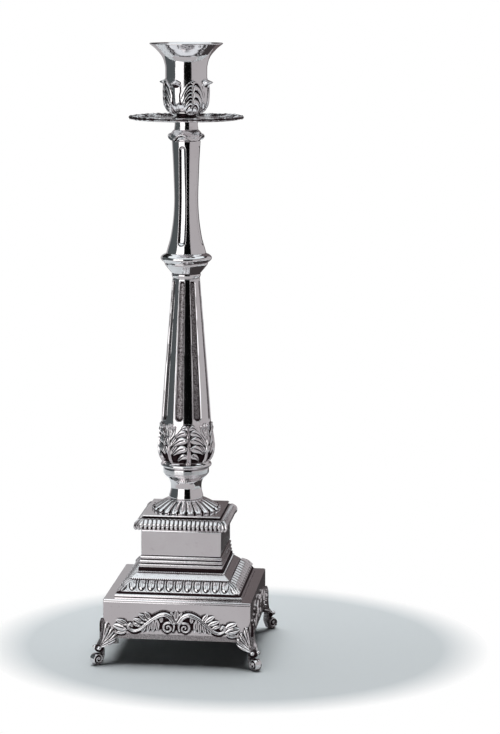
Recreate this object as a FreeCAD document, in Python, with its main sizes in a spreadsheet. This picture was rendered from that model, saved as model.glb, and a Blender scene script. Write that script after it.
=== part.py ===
# Silver candlestick, 380 mm tall, as a parametric FreeCAD document.
#
# A square base block stands on four scroll feet.  A skirt moulding, a reeded plinth, a die and a gadrooned
# cap carry a turned column in two lengths, and a steel tie rod clamps that whole stack from a nut under
# the base.  The drip pan lies on the column's seat.  The candle cup, with its leaf calyx and its pedestal,
# screws down on the pan by a stud.
#
# Frame: millimetres, +Z up, the column's axis is Z, and the feet stand on Z = 0.

import FreeCAD
import Part
import Sketcher
import math
import os

from FreeCAD import Placement, Rotation, Vector

# Driving dimensions in millimetres and degrees, by alias.  Lengths are full sizes, "half" is half of a
# square's width, "radius" is from a round piece's own axis, and "level" is a height above the table.
SIZES = {
    "block_half": 45.8,
    "block_foot_level": 16.3,
    "block_top_level": 41.1,
    "sheet_wall": 1.5,
    "plate_thick": 2.0,
    "skirt_half": 39.7,
    "skirt_top_half": 26.5,
    "skirt_top_level": 57.0,
    "egg_pitch": 5.6,
    "eggs": 12,
    "plinth_top_level": 64.5,
    "die_half": 25.0,
    "die_top_level": 81.0,
    "cap_half": 28.8,
    "cap_top_level": 87.9,
    "gadroon_pitch": 2.35,
    "gadroons": 20,
    "gadroon_notch": 0.7,
    "seat_plate_half": 24.4,
    "seat_plate_level": 89.9,
    "dish_radius": 22.0,
    "dish_level": 96.7,
    "dish_ribs": 24,
    "waist_radius": 9.6,
    "neck_level": 112.6,
    "band_radius": 14.3,
    "band_level": 120.7,
    "ring_radius": 15.95,
    "bulb_radius": 17.0,
    "bulb_leaf_radius": 18.5,
    "bulb_level": 146.0,
    "bulb_phase": 13.0,
    "shaft_foot_radius": 15.5,
    "shaft_head_radius": 8.5,
    "shaft_level": 235.7,
    "shaft_wall": 2.8,
    "shaft_end": 3.0,
    "shaft_flutes": 8,
    "lower_flute_head_cut": 1.7,
    "lower_flute_foot_cut": 3.1,
    "flute_phase": -9.4,
    "bell_radius": 13.5,
    "bell_level": 245.4,
    "knop_radius": 15.9,
    "knop_level": 251.2,
    "upper_foot_radius": 12.3,
    "upper_waist_radius": 7.45,
    "upper_waist_level": 285.0,
    "upper_head_radius": 8.9,
    "upper_level": 320.4,
    "upper_flutes": 4,
    "upper_flute_head_cut": 2.0,
    "upper_flute_foot_cut": 2.6,
    "collar_radius": 10.3,
    "collar_notch": 3.2,
    "collar_level": 327.1,
    "bush_radius": 7.2,
    "spigot_radius": 5.0,
    "spigot_foot_level": 306.0,
    "bush_level": 332.9,
    "pan_radius": 35.9,
    "pan_thick": 1.2,
    "pan_rise": 1.4,
    "pan_lobes": 20,
    "pan_notch": 2.4,
    "pedestal_radius": 9.0,
    "pedestal_level": 337.4,
    "calyx_radius": 14.3,
    "calyx_tip_radius": 17.2,
    "calyx_level": 357.5,
    "calyx_phase": 25.6,
    "calyx_leaves": 8,
    "calyx_notch": 1.6,
    "cup_radius": 12.85,
    "socket_radius": 11.25,
    "socket_floor_level": 341.0,
    "socket_top_level": 366.0,
    "rim_radius": 22.5,
    "total_height": 380.0,
    "toe_reach": 69.6,
    "toe_radius": 4.2,
    "toe_width": 5.6,
    "toe_flat": 2.6,
    "toe_eye_radius": 1.8,
    "leaf_proud": 1.6,
    "leaf_level": 29.8,
    "leaf_half_width": 9.6,
    "foot_pad": 15.0,
    "foot_screw_place": 39.0,
    "frieze_thick": 1.3,
    "volute_radius": 4.2,
    "volute_place": 5.2,
    "volute_level": 24.2,
    "rod_radius": 3.0,
    "rod_hole_radius": 3.2,
    "rod_foot_level": 7.5,
    "rod_head_level": 315.0,
    "nut_radius": 5.77,
    "nut_high": 5.0,
    "washer_radius": 6.0,
    "washer_thick": 1.2,
    "stud_radius": 2.95,
    "stud_hole_radius": 3.05,
    "stud_foot_level": 316.0,
    "screw_radius": 1.95,
    "screw_head_radius": 3.5,
    "screw_head_high": 2.2,
    "screw_foot_level": 11.5,
    "ballast_half": 33.0,
    "ballast_high": 12.0,
}

# Names of the finished sub-parts, in the order in which they are made.
nodes = []

doc = FreeCAD.newDocument("Candlestick")
sheet = doc.addObject("Spreadsheet::Sheet", "Sizes")
for row, (alias, number) in enumerate(SIZES.items(), start=1):
    sheet.set(f"A{row}", alias)
    sheet.set(f"B{row}", str(number))
    sheet.setAlias(f"B{row}", alias)
doc.recompute()


class Size:
    """A length that knows both its present value and the spreadsheet expression it comes from."""

    def __init__(self, value, expression):
        self.value = float(value)
        self.expression = expression

    def joined(self, other, sign, value):
        right = other.expression if isinstance(other, Size) else repr(float(other))
        return Size(value, f"({self.expression} {sign} {right})")

    def __add__(self, other):
        return self.joined(other, "+", self.value + float(other))

    def __sub__(self, other):
        return self.joined(other, "-", self.value - float(other))

    def __mul__(self, other):
        return self.joined(other, "*", self.value * float(other))

    def __truediv__(self, other):
        return self.joined(other, "/", self.value / float(other))

    def __neg__(self):
        return Size(-self.value, f"(-1 * {self.expression})")

    def __float__(self):
        return self.value


class Sheet:
    """Gives each alias of the spreadsheet as a Size: size.block_half and so on."""

    def __getattr__(self, alias):
        return Size(SIZES[alias], f"Sizes.{alias}")


size = Sheet()


def bind(obj, prop, length):
    """Ties one property of an object to a size, or to a plain number."""
    if isinstance(length, Size):
        obj.setExpression(prop, length.expression)
    else:
        obj.setExpression(prop, repr(float(length)))


# ------------------------------------------------------------------------------- sketches and bodies


def tie_point(sketch, geometry, position, place):
    """Holds one point of a sketch at a place measured from the sketch's origin."""
    for kind, length in zip(("DistanceX", "DistanceY"), place):
        value = float(length)
        index = sketch.addConstraint(Sketcher.Constraint(kind, -1, 1, geometry, position, value))
        if isinstance(length, Size):
            sketch.setExpression(f"Constraints[{index}]", length.expression)


def draw(sketch, outline):
    """Adds a closed outline.  A step is an (x, y) corner, or (x, y, through x, through y) for an arc that
    runs through one place to that corner.  Every corner and every place on an arc is tied to its sizes."""
    corners = [Vector(float(step[0]), float(step[1]), 0) for step in outline]
    first = sketch.GeometryCount
    for i, step in enumerate(outline):
        if len(step) == 2:
            sketch.addGeometry(Part.LineSegment(corners[i - 1], corners[i]), False)
        else:
            middle = Vector(float(step[2]), float(step[3]), 0)
            sketch.addGeometry(Part.Arc(corners[i - 1], middle, corners[i]), False)
    # An arc always runs anticlockwise in a sketch, so its own first point can be the outline's later one.
    ends = []
    for i in range(len(outline)):
        start = sketch.getPoint(first + i, 1)
        ends.append((1, 2) if (start - corners[i - 1]).Length < 1e-5 else (2, 1))
    for i, step in enumerate(outline):
        following = (i + 1) % len(outline)
        joint = ("Coincident", first + i, ends[i][1], first + following, ends[following][0])
        sketch.addConstraint(Sketcher.Constraint(*joint))
        tie_point(sketch, first + i, ends[i][1], step[:2])
    for i, step in enumerate(outline):
        if len(step) == 4:
            middle = sketch.addGeometry(Part.Point(Vector(float(step[2]), float(step[3]), 0)), True)
            tie_point(sketch, middle, 1, step[2:])
            sketch.addConstraint(Sketcher.Constraint("PointOnObject", middle, 1, first + i))


def origin_feature(body, role):
    """One of the planes or axes of a body's own origin."""
    return [feature for feature in body.Origin.OriginFeatures if feature.Role == role][0]


def new_body(label):
    """An empty body with that label."""
    body = doc.addObject("PartDesign::Body", label)
    body.Label = label
    return body


def new_sketch(body, plane, name, *outlines, level=None, phase=None):
    """A sketch on one of the body's origin planes, raised to a level, or turned to a phase about Z."""
    sketch = body.newObject("Sketcher::SketchObject", name)
    sketch.AttachmentSupport = [(origin_feature(body, plane), "")]
    sketch.MapMode = "FlatFace"
    if phase is not None:
        sketch.AttachmentOffset = Placement(Vector(), Rotation(Vector(0, 1, 0), float(phase)))
    if level is not None:
        bind(sketch, "AttachmentOffset.Base.z", level)
    for outline in outlines:
        draw(sketch, outline)
    doc.recompute()
    return sketch


def feature(body, kind, name, **settings):
    """Adds a feature to a body with its settings, makes it the body's tip and works it out."""
    before = body.Shape.Volume if body.Tip is not None else 0.0
    added = body.newObject("PartDesign::" + kind, name)
    for key, value in settings.items():
        if isinstance(value, Size):
            bind(added, key, value)
        else:
            setattr(added, key, value)
    body.Tip = added
    doc.recompute()
    if abs(body.Shape.Volume - before) < 1e-6:
        raise ValueError(f"{name} changes nothing")
    return added


def polar(body, originals, count, name):
    """Repeats features round the Z axis."""
    axis = (origin_feature(body, "Z_Axis"), [""])
    return feature(
        body, "PolarPattern", name, Originals=originals, Axis=axis, Angle=360.0, Occurrences=int(float(count))
    )


def turned(label, outline):
    """A body of revolution about Z, from a closed (radius, level) outline."""
    body = new_body(label)
    sketch = new_sketch(body, "XZ_Plane", label + "_outline", outline)
    feature(body, "Revolution", label + "_turn", Profile=sketch, ReferenceAxis=(sketch, ["V_Axis"]))
    nodes.append(body)
    return body


def cut_flutes(body, head, foot, count, phase):
    """Cuts round-ended flutes.  Head and foot are the (axis radius, level, cutter radius) of one cutter, a
    tapered pin that stands beside the shaft and leans with it."""
    head_axis, head_level, head_cut = head
    foot_axis, foot_level, foot_cut = foot
    bend = 1 - math.sqrt(0.5)
    outline = [
        (foot_axis, foot_level),
        (
            foot_axis - foot_cut,
            foot_level + foot_cut,
            foot_axis - foot_cut * math.sqrt(0.5),
            foot_level + foot_cut * bend,
        ),
        (head_axis - head_cut, head_level - head_cut),
        (head_axis, head_level, head_axis - head_cut * math.sqrt(0.5), head_level - head_cut * bend),
    ]
    name = body.Label
    sketch = new_sketch(body, "XZ_Plane", name + "_flute", outline, phase=phase)
    groove = feature(body, "Groove", name + "_groove", Profile=sketch, ReferenceAxis=(sketch, ["Edge1"]))
    polar(body, [groove], count, name + "_flutes")


def add_leaves(body, outline, angle, phase, count, name):
    """Adds raised leaves, each a (radius, level) outline turned through an angle that is centred on its
    phase."""
    sketch = new_sketch(body, "XZ_Plane", name, outline, phase=phase)
    axis = (sketch, ["V_Axis"])
    leaf = feature(body, "Revolution", name + "_turn", Profile=sketch, ReferenceAxis=axis, Midplane=True, Angle=angle)
    polar(body, [leaf], count, name + "_round")


def notch_round(body, radius, reach, level, phase, count):
    """Notches an edge with round pins that lie along the radius and start at a reach from the axis."""
    name = body.Label + "_notch"
    pin = body.newObject("PartDesign::SubtractiveCylinder", name)
    bind(pin, "Radius", radius)
    bind(pin, "Height", 12.0)
    about = Rotation(Vector(0, 0, 1), float(phase))
    start = about.multVec(Vector(reach, 0, float(level)))
    pin.Placement = Placement(start, about.multiply(Rotation(Vector(0, 1, 0), 90.0)))
    body.Tip = pin
    doc.recompute()
    polar(body, [pin], count, name + "es")


def both_sides(side):
    """A closed outline that is symmetrical across the axis, from one side's steps from the foot up."""
    other = []
    for i in reversed(range(len(side))):
        across, level = side[i][:2]
        above = side[i + 1] if i + 1 < len(side) else ()
        arc = (-above[2], above[3]) if len(above) == 4 else ()
        other.append((-across, level) + arc)
    return side + other


def squared(label, side):
    """A square moulding with mitred corners, from one side's (half width, level) steps from the foot up."""
    body = new_body(label)
    reach = max(side, key=lambda step: float(step[0]))[0] + 1.0
    foot, top = side[0][1] - 1.0, side[-1][1] + 1.0
    bar = new_sketch(body, "XZ_Plane", label + "_bar", both_sides(side))
    feature(body, "Pad", label + "_pad", Profile=bar, SideType="Symmetric", Length=reach * 2)
    frame = [(reach, foot), (reach, top), (-reach, top), (-reach, foot)]
    trim = new_sketch(body, "YZ_Plane", label + "_trim", both_sides(side), frame)
    feature(body, "Pocket", label + "_mitre", Profile=trim, SideType="Symmetric", Length=reach * 2)
    nodes.append(body)
    return body


def square(half):
    """A square centred on the axis."""
    return [(half, half), (-half, half), (-half, -half), (half, -half)]


def hollow(body, foot_half, foot_level, top_half, top_level):
    """Cuts a cavity with four flat walls, square at its foot and at its top."""
    name = body.Label
    foot = new_sketch(body, "XY_Plane", name + "_cavity_foot", square(foot_half), level=foot_level)
    top = new_sketch(body, "XY_Plane", name + "_cavity_top", square(top_half), level=top_level)
    feature(body, "SubtractiveLoft", name + "_cavity", Profile=foot, Sections=[top], Ruled=True)


def add_circle(sketch, radius, centre):
    """Adds a circle whose radius and centre are tied to sizes."""
    middle = Vector(float(centre[0]), float(centre[1]), 0)
    circle = sketch.addGeometry(Part.Circle(middle, Vector(0, 0, 1), float(radius)), False)
    constraint = sketch.addConstraint(Sketcher.Constraint("Radius", circle, float(radius)))
    if isinstance(radius, Size):
        sketch.setExpression(f"Constraints[{constraint}]", radius.expression)
    tie_point(sketch, circle, 3, centre)


def drill(body, radius, level, depth, places=((0.0, 0.0),), name="bore"):
    """Drills round holes down from a level, each centred at an (x, y) place."""
    label = f"{body.Label}_{name}"
    sketch = new_sketch(body, "XY_Plane", label + "_outline", level=level)
    for centre in places:
        add_circle(sketch, radius, centre)
    doc.recompute()
    feature(body, "Pocket", label, Profile=sketch, Length=depth)


# ------------------------------------------------------------------------------- base


def base_block():
    """The hollow square block under everything, closed by its plate."""
    foot, top, half = size.block_foot_level, size.block_top_level, size.block_half
    line = 1.2
    side = [
        (half, foot),
        (half, top - line - 0.3),
        (half - 0.3, top - line),
        (half, top - line + 0.3),
        (half, top - 0.3),
        (half - 0.3, top),
    ]
    block = squared("base_block", side)
    inner = half - size.sheet_wall
    hollow(block, inner, foot - 0.01, inner, top - size.sheet_wall)
    drill(block, size.rod_hole_radius, top + 1.0, 5.0)

    half, foot = inner, size.block_foot_level
    plate = squared("base_plate", [(half, foot), (half, foot + size.plate_thick)])
    drill(plate, size.rod_hole_radius, foot + 5.0, 8.0)
    drill(plate, size.screw_radius + 0.1, foot + 5.0, 8.0, screw_places(), "screw_holes")

    foot = size.block_foot_level + size.plate_thick
    half = size.ballast_half
    ballast = squared("ballast", [(half, foot), (half, foot + size.ballast_high)])
    drill(ballast, size.rod_hole_radius, foot + size.ballast_high + 1.0, size.ballast_high + 2.0)


def screw_places():
    """Where the four foot screws stand."""
    place = size.foot_screw_place
    return [(place, place), (-place, place), (-place, -place), (place, -place)]


def foot(label, angle):
    """One scroll foot.  It is modelled with +X along the block's diagonal, then turned to its corner."""
    body = new_body(label)
    under = size.block_foot_level
    ankle = under - 3.3
    corner = size.block_half * math.sqrt(2)
    wing = size.leaf_half_width
    proud = size.leaf_proud * math.sqrt(2)
    arm = corner - wing + proud / 2

    # The knee's leaf wraps the block's corner: a bent plate, cut to a lobed outline.
    plate = [
        (corner, 0.0),
        (corner - wing, wing),
        (arm, wing + proud / 2),
        (corner + proud, 0.0),
        (arm, -wing - proud / 2),
        (corner - wing, -wing),
    ]
    bend = new_sketch(body, "XY_Plane", label + "_bend", plate, level=ankle)
    feature(body, "Pad", label + "_plate", Profile=bend, Length=size.leaf_level - ankle)
    lobes = [
        (2.6, ankle),
        (6.6, ankle + 1.4, 4.9, ankle + 0.1),
        (9.6, ankle + 4.6, 9.0, ankle + 2.4),
        (7.4, ankle + 6.4, 9.4, ankle + 6.5),
        (7.8, ankle + 8.6, 8.3, ankle + 7.4),
        (5.0, ankle + 10.2, 7.1, ankle + 10.3),
        (4.7, ankle + 12.4, 5.3, ankle + 11.2),
        (2.4, ankle + 13.6, 4.0, ankle + 13.8),
        (0.4, size.leaf_level, 1.7, ankle + 15.6),
    ]
    outside = [(20.0, ankle - 2.0), (20.0, 40.0), (-20.0, 40.0), (-20.0, ankle - 2.0)]
    leaf = new_sketch(body, "YZ_Plane", label + "_leaf_outline", both_sides(lobes), outside)
    feature(body, "Pocket", label + "_leaf", Profile=leaf, SideType="Symmetric", Length=200.0)

    # The leg curls under into the volute that the candlestick stands on.
    reach, curl = size.toe_reach, size.toe_radius
    slant = curl * math.sqrt(0.5)
    flat = size.toe_flat / 2
    leg = [
        (reach + flat, 0.0),
        (reach + curl, curl, reach + slant, curl - slant),
        (reach + 0.9, curl + 4.1, reach + 3.2, curl + 3.1),
        (reach + 1.9, ankle - 1.6, reach + 0.7, curl + 6.0),
        (corner + proud - 0.6, ankle + 1.6, reach + 0.8, ankle + 0.9),
        (corner, under),
        (corner - 10.0, under),
        (reach - curl - 4.6, 9.0, corner - 6.4, 13.4),
        (reach - 3.4, 1.7, reach - curl - 2.6, 4.4),
        (reach - flat, 0.0, reach - 2.5, 0.6),
    ]
    scroll = new_sketch(body, "XZ_Plane", label + "_scroll", leg)
    feature(body, "Pad", label + "_leg", Profile=scroll, SideType="Symmetric", Length=size.toe_width)
    eye = new_sketch(body, "XZ_Plane", label + "_eye")
    add_circle(eye, size.toe_eye_radius, (reach, curl))
    doc.recompute()
    feature(body, "Pad", label + "_button", Profile=eye, SideType="Symmetric", Length=size.toe_width + 1.6)

    # A pad under the block takes the screw.
    pad = new_sketch(body, "XY_Plane", label + "_pad_outline", level=under - 4.0)
    middle = (size.foot_screw_place * math.sqrt(2), 0.0)
    add_circle(pad, size.foot_pad / 2, middle)
    doc.recompute()
    feature(body, "Pad", label + "_pad", Profile=pad, Length=4.0)
    drill(body, size.screw_radius, under + 1.0, 6.0, [middle])
    body.Placement = Placement(Vector(), Rotation(Vector(0, 0, 1), angle))
    nodes.append(body)


def feet():
    """The four feet and their screws, whose heads lie inside the block on its plate."""
    foot("foot_front_right", -45.0)
    foot("foot_back_right", 45.0)
    foot("foot_back_left", 135.0)
    foot("foot_front_left", -135.0)

    seat = size.block_foot_level + size.plate_thick
    screws = []
    for number, (across, along) in enumerate(screw_places()):
        shank = doc.addObject("Part::Cylinder", f"screw_shank_{number}")
        bind(shank, "Radius", size.screw_radius)
        bind(shank, "Height", seat - size.screw_foot_level)
        place(shank, across, along, size.screw_foot_level)
        head = doc.addObject("Part::Cylinder", f"screw_head_{number}")
        bind(head, "Radius", size.screw_head_radius)
        bind(head, "Height", size.screw_head_high)
        place(head, across, along, seat)
        screw = doc.addObject("Part::Fuse", f"screw_{number}")
        screw.Base = shank
        screw.Tool = head
        screws.append(screw)
    group = doc.addObject("Part::Compound", "foot_screws")
    group.Links = screws
    nodes.append(group)


def place(obj, across, along, level):
    """Ties a primitive's position to sizes."""
    bind(obj, "Placement.Base.x", across)
    bind(obj, "Placement.Base.y", along)
    bind(obj, "Placement.Base.z", level)


def frieze_casting():
    """One scrolled casting, flat on the XZ plane with its face toward -Y: a bud over two volutes, and on each
    side an arm that curls down and out to a leaf."""
    thick = float(size.frieze_thick)
    foot_level = float(size.block_foot_level)
    outward = Vector(0, -1, 0)

    def at(across, up):
        return Vector(across, 0, foot_level + up)

    def disc(across, up, radius, high):
        return Part.makeCylinder(radius, high, at(across, up), outward)

    def leaf(across, up, long, wide, tilt, high):
        oval = Part.Ellipse(Vector(), long, wide).toShape()
        face = Part.Face(Part.Wire(oval))
        face.rotate(Vector(), Vector(0, 0, 1), tilt)
        face.rotate(Vector(), Vector(1, 0, 0), 90)
        face.translate(at(across, up))
        return face.extrude(outward * high)

    def stroke(places, half_width, high):
        spine = Part.BSplineCurve()
        spine.interpolate([Vector(across, foot_level + up, 0) for across, up in places])
        edges = []
        for side in (1, -1):
            bank = []
            for step in range(13):
                where = spine.FirstParameter + (spine.LastParameter - spine.FirstParameter) * step / 12
                along = spine.tangent(where)[0]
                bank.append(spine.value(where) + Vector(-along.y, along.x, 0) * side * half_width)
            curve = Part.BSplineCurve()
            curve.interpolate(bank if side == 1 else bank[::-1])
            edges.append(curve.toShape())
        for first, second in ((0, 1), (1, 0)):
            edges.append(Part.makeLine(edges[first].Vertexes[-1].Point, edges[second].Vertexes[0].Point))
        face = Part.Face(Part.Wire(Part.__sortEdges__(edges)))
        face.rotate(Vector(), Vector(1, 0, 0), 90)
        return face.extrude(outward * high)

    volute = float(size.volute_radius)
    centre = float(size.volute_place)
    raised = float(size.volute_level) - foot_level
    arm = [(2.4, 8.0), (3.0, 12.4), (8.0, 16.1), (13.0, 14.2), (18.6, 10.1), (26.0, 5.4), (31.0, 7.4)]
    pieces = [leaf(0.0, 16.4, 2.8, 1.6, 90.0, thick), disc(0.0, 12.9, 2.5, thick * 0.9)]
    for side in (1, -1):
        pieces.append(disc(side * centre, raised, volute, thick * 0.7))
        pieces.append(disc(side * centre, raised, volute * 0.35, thick * 1.2))
        pieces.append(stroke([(side * across, up) for across, up in arm], 1.2, thick))
        pieces.append(leaf(side * 33.0, 7.8, 3.7, 2.2, 0.0, thick * 0.8))
        pieces.append(leaf(side * 21.0, 12.2, 4.0, 2.2, side * 35.0, thick * 0.8))
        pieces.append(leaf(side * 13.0, 9.6, 4.6, 2.2, 90.0, thick * 0.8))
        pieces.append(leaf(side * 19.4, 7.4, 2.6, 1.8, 90.0, thick * 0.8))
    casting = pieces[0]
    for piece in pieces[1:]:
        casting = casting.fuse(piece)
    return casting.removeSplitter()


def friezes():
    """The same casting on the block's four faces."""
    casting = frieze_casting()
    for turn, side in enumerate(("front", "right", "back", "left")):
        frieze = doc.addObject("Part::Feature", "frieze_" + side)
        frieze.Label = "frieze_" + side
        frieze.Shape = casting
        spin = Rotation(Vector(0, 0, 1), 90.0 * turn)
        frieze.Placement = Placement(spin.multVec(Vector(0, -float(size.block_half), 0)), spin)
        nodes.append(frieze)


# ------------------------------------------------------------------------------- square mouldings


def skirt():
    """The moulding from the block up to the plinth: a fillet, a row of eggs, and a cove."""
    foot, top = size.block_top_level, size.skirt_top_level
    side = [
        (size.skirt_half, foot),
        (size.skirt_half, foot + 1.5),
        (size.skirt_half - 1.9, foot + 3.2),
        (size.skirt_half - 9.4, foot + 9.6, size.skirt_half - 5.0, foot + 6.6),
        (size.skirt_top_half, top - 2.2, size.skirt_half - 12.4, foot + 11.0),
        (size.skirt_top_half, top),
    ]
    body = squared("skirt", side)
    inner = size.skirt_top_half - 2.5
    hollow(body, size.skirt_half - 2.4, foot - 0.01, inner, top - 1.6)
    drill(body, size.rod_hole_radius, top + 1.0, 4.0)
    eggs = []
    for number in range(SIZES["eggs"]):
        egg = body.newObject("PartDesign::AdditiveEllipsoid", f"egg_{number}")
        bind(egg, "Radius1", size.egg_pitch * 0.42)
        bind(egg, "Radius2", size.egg_pitch * 0.62)
        bind(egg, "Radius3", size.egg_pitch * 0.42)
        across = size.egg_pitch * (number - (SIZES["eggs"] - 1) / 2)
        bind(egg, "Placement.Base.x", across)
        bind(egg, "Placement.Base.y", size.skirt_half * -1 + 5.4)
        bind(egg, "Placement.Base.z", foot + 6.2)
        body.Tip = egg
        doc.recompute()
        eggs.append(egg)
    polar(body, eggs, 4, "eggs_round")


def plinth():
    """Three reeds between the skirt and the die."""
    foot, top = size.skirt_top_level, size.plinth_top_level
    reeds = 3
    step = (top - foot) / reeds
    side = [(size.die_half + 0.8, foot)]
    for reed in range(reeds):
        half = size.die_half + 0.8 - 0.3 * reed
        low = foot + step * reed
        side.append((half - 0.3, low + step, half + 0.7, low + step / 2))
    body = squared("reeded_plinth", side)
    drill(body, size.rod_hole_radius, top + 1.0, top - foot + 2.0)


def die():
    """The plain square block, hollow, under the gadrooned cap."""
    foot, top, half = size.plinth_top_level, size.die_top_level, size.die_half
    body = squared("die", [(half, foot), (half, top)])
    inner = half - size.sheet_wall
    hollow(body, inner, foot - 0.01, inner, top - size.sheet_wall)
    drill(body, size.rod_hole_radius, top + 1.0, 4.0)


def cap():
    """The gadrooned cap: a heavy square roll, notched all along its sides."""
    foot, top, half = size.die_top_level, size.cap_top_level, size.cap_half
    side = [
        (size.die_half + 0.2, foot),
        (half, foot + 2.5, size.die_half + 2.8, foot + 0.6),
        (size.die_half - 0.4, top, half - 1.0, top - 1.8),
    ]
    body = squared("gadroon_cap", side)
    hollow(body, size.die_half - 3.0, foot - 0.01, size.die_half - 3.0, top - size.plate_thick)
    drill(body, size.rod_hole_radius, top + 1.0, 5.0)
    notches = new_sketch(body, "XY_Plane", "cap_notches", level=top + 1.0)
    count = SIZES["gadroons"] + 1
    for number in range(count):
        across = size.gadroon_pitch * (number - (count - 1) / 2)
        add_circle(notches, size.gadroon_notch, (across, -half))
    doc.recompute()
    cuts = feature(body, "Pocket", "cap_notch", Profile=notches, Length=top - foot + 2.0)
    polar(body, [cuts], 4, "cap_notches_round")


def seat_plate():
    """The thin square plate that the column's dish stands on, on a recessed neck."""
    foot, top, half = size.cap_top_level, size.seat_plate_level, size.seat_plate_half
    side = [(half - 1.4, foot), (half - 1.4, foot + 0.5), (half, foot + 0.5), (half, top)]
    body = squared("seat_plate", side)
    drill(body, size.rod_hole_radius, top + 1.0, 4.0)


# ------------------------------------------------------------------------------- column


def dish():
    """The ribbed dish at the column's foot."""
    foot, top, wide = size.seat_plate_level, size.dish_level, size.dish_radius
    hole = size.rod_hole_radius
    outline = [
        (hole, foot),
        (wide - 1.0, foot),
        (wide, foot + 0.9, wide - 0.27, foot + 0.27),
        (wide - 5.6, foot + 4.4, wide - 1.8, foot + 2.6),
        (11.0, top, 13.2, top - 0.6),
        (hole, top),
    ]
    body = turned("ribbed_dish", outline)
    groove = body.newObject("PartDesign::SubtractiveCone", "dish_groove")
    bind(groove, "Radius1", 1.5)
    bind(groove, "Radius2", 0.5)
    bind(groove, "Height", 13.0)
    groove.Placement = Placement(Vector(0, 0, 0), Rotation(Vector(0, 1, 0), -62.0))
    bind(groove, "Placement.Base.x", wide + 0.6)
    bind(groove, "Placement.Base.z", foot + 1.7)
    body.Tip = groove
    doc.recompute()
    polar(body, [groove], size.dish_ribs, "dish_ribs")


def neck():
    """The waisted neck between the dish and the bulb, with its plain band and its ring."""
    foot, top, hole = size.dish_level, size.neck_level, size.rod_hole_radius
    outline = [
        (hole, foot),
        (10.6, foot),
        (size.waist_radius, foot + 6.8, 10.2, foot + 3.2),
        (10.9, top - 3.4, 9.85, top - 6.4),
        (size.band_radius - 1.4, top - 1.2, 11.7, top - 1.9),
        (size.band_radius - 0.8, top),
        (hole, top),
    ]
    turned("neck", outline)

    foot, top, wide = size.neck_level, size.band_level, size.ring_radius
    outline = [
        (hole, foot),
        (size.band_radius, foot),
        (size.band_radius, foot + 3.8),
        (wide, foot + 5.6, wide - 0.4, foot + 4.2),
        (size.band_radius + 0.4, foot + 7.3, wide - 0.4, foot + 7.0),
        (14.0, top),
        (hole, top),
    ]
    turned("ring_band", outline)


def bulb():
    """The acanthus bulb: a rounded core under broad leaves, with a curled leaf between each pair."""
    foot, top, hole = size.band_level, size.bulb_level, size.rod_hole_radius
    wide, leafy = size.bulb_radius, size.bulb_leaf_radius
    outline = [
        (hole, foot),
        (13.6, foot),
        (wide - 0.9, foot + 5.0, wide - 1.6, foot + 2.4),
        (wide, foot + 9.0, wide - 0.1, foot + 7.0),
        (14.9, top, 15.9, foot + 17.5),
        (hole, top),
        (hole, top - size.shaft_end),
        (11.0, top - size.shaft_end - 3.0),
        (11.0, foot + size.shaft_end + 2.0),
        (hole, foot + size.shaft_end),
    ]
    body = turned("acanthus_bulb", outline)
    inside = 12.0
    broad = [
        (inside, foot + 0.6),
        (14.2, foot + 0.6),
        (leafy, foot + 8.8, 17.6, foot + 4.6),
        (16.9, top - 6.0, leafy - 0.4, foot + 14.2),
        (inside, top - 6.0),
    ]
    add_leaves(body, broad, 52.0, size.bulb_phase, 4, "broad_leaf")
    narrow = [
        (inside, foot + 4.0),
        (wide + 0.6, foot + 8.0),
        (15.7, top - 6.5, 17.0, foot + 13.4),
        (16.5, top - 1.6, 15.6, top - 3.6),
        (inside, top - 0.4, 15.4, top - 0.5),
    ]
    add_leaves(body, narrow, 24.0, size.bulb_phase + 45.0, 4, "narrow_leaf")


def lower_shaft():
    """The long tapered shaft with its round-ended flutes."""
    foot, top, hole = size.bulb_level, size.shaft_level, size.rod_hole_radius
    wide, slim = size.shaft_foot_radius, size.shaft_head_radius
    wall, end = size.shaft_wall, size.shaft_end
    outline = [
        (hole, foot),
        (wide, foot),
        (slim + 0.1, top - 0.2, (wide + slim) / 2 + 0.15, (foot + top) / 2),
        (slim, top),
        (hole, top),
        (hole, top - end),
        (slim - wall, top - end - 2.0),
        (wide - wall, foot + end + 3.0),
        (hole, foot + end),
    ]
    body = turned("fluted_shaft", outline)
    head = (slim + 1.1, top - 1.4, size.lower_flute_head_cut)
    low = (wide + 1.7, foot + 1.0, size.lower_flute_foot_cut)
    cut_flutes(body, head, low, size.shaft_flutes, size.flute_phase)


def bell():
    """The flared capital over the fluted shaft, and the knop ring that the upper shaft stands on."""
    foot, top, hole = size.shaft_level, size.bell_level, size.rod_hole_radius
    outline = [
        (hole, foot),
        (size.shaft_head_radius, foot),
        (size.shaft_head_radius + 0.1, foot + 2.7, size.shaft_head_radius + 0.8, foot + 1.6),
        (size.bell_radius - 0.3, foot + 8.1, 10.6, foot + 4.9),
        (size.bell_radius, top, size.bell_radius + 0.2, foot + 8.8),
        (hole, top),
    ]
    turned("bell_capital", outline)

    foot, top, wide = size.bell_level, size.knop_level, size.knop_radius
    outline = [
        (hole, foot),
        (size.bell_radius + 0.2, foot),
        (wide, foot + 2.6, wide - 0.5, foot + 1.0),
        (size.upper_foot_radius + 0.5, top - 0.5, wide - 0.7, foot + 4.2),
        (size.upper_foot_radius + 0.1, top),
        (hole, top),
    ]
    turned("knop_ring", outline)


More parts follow.
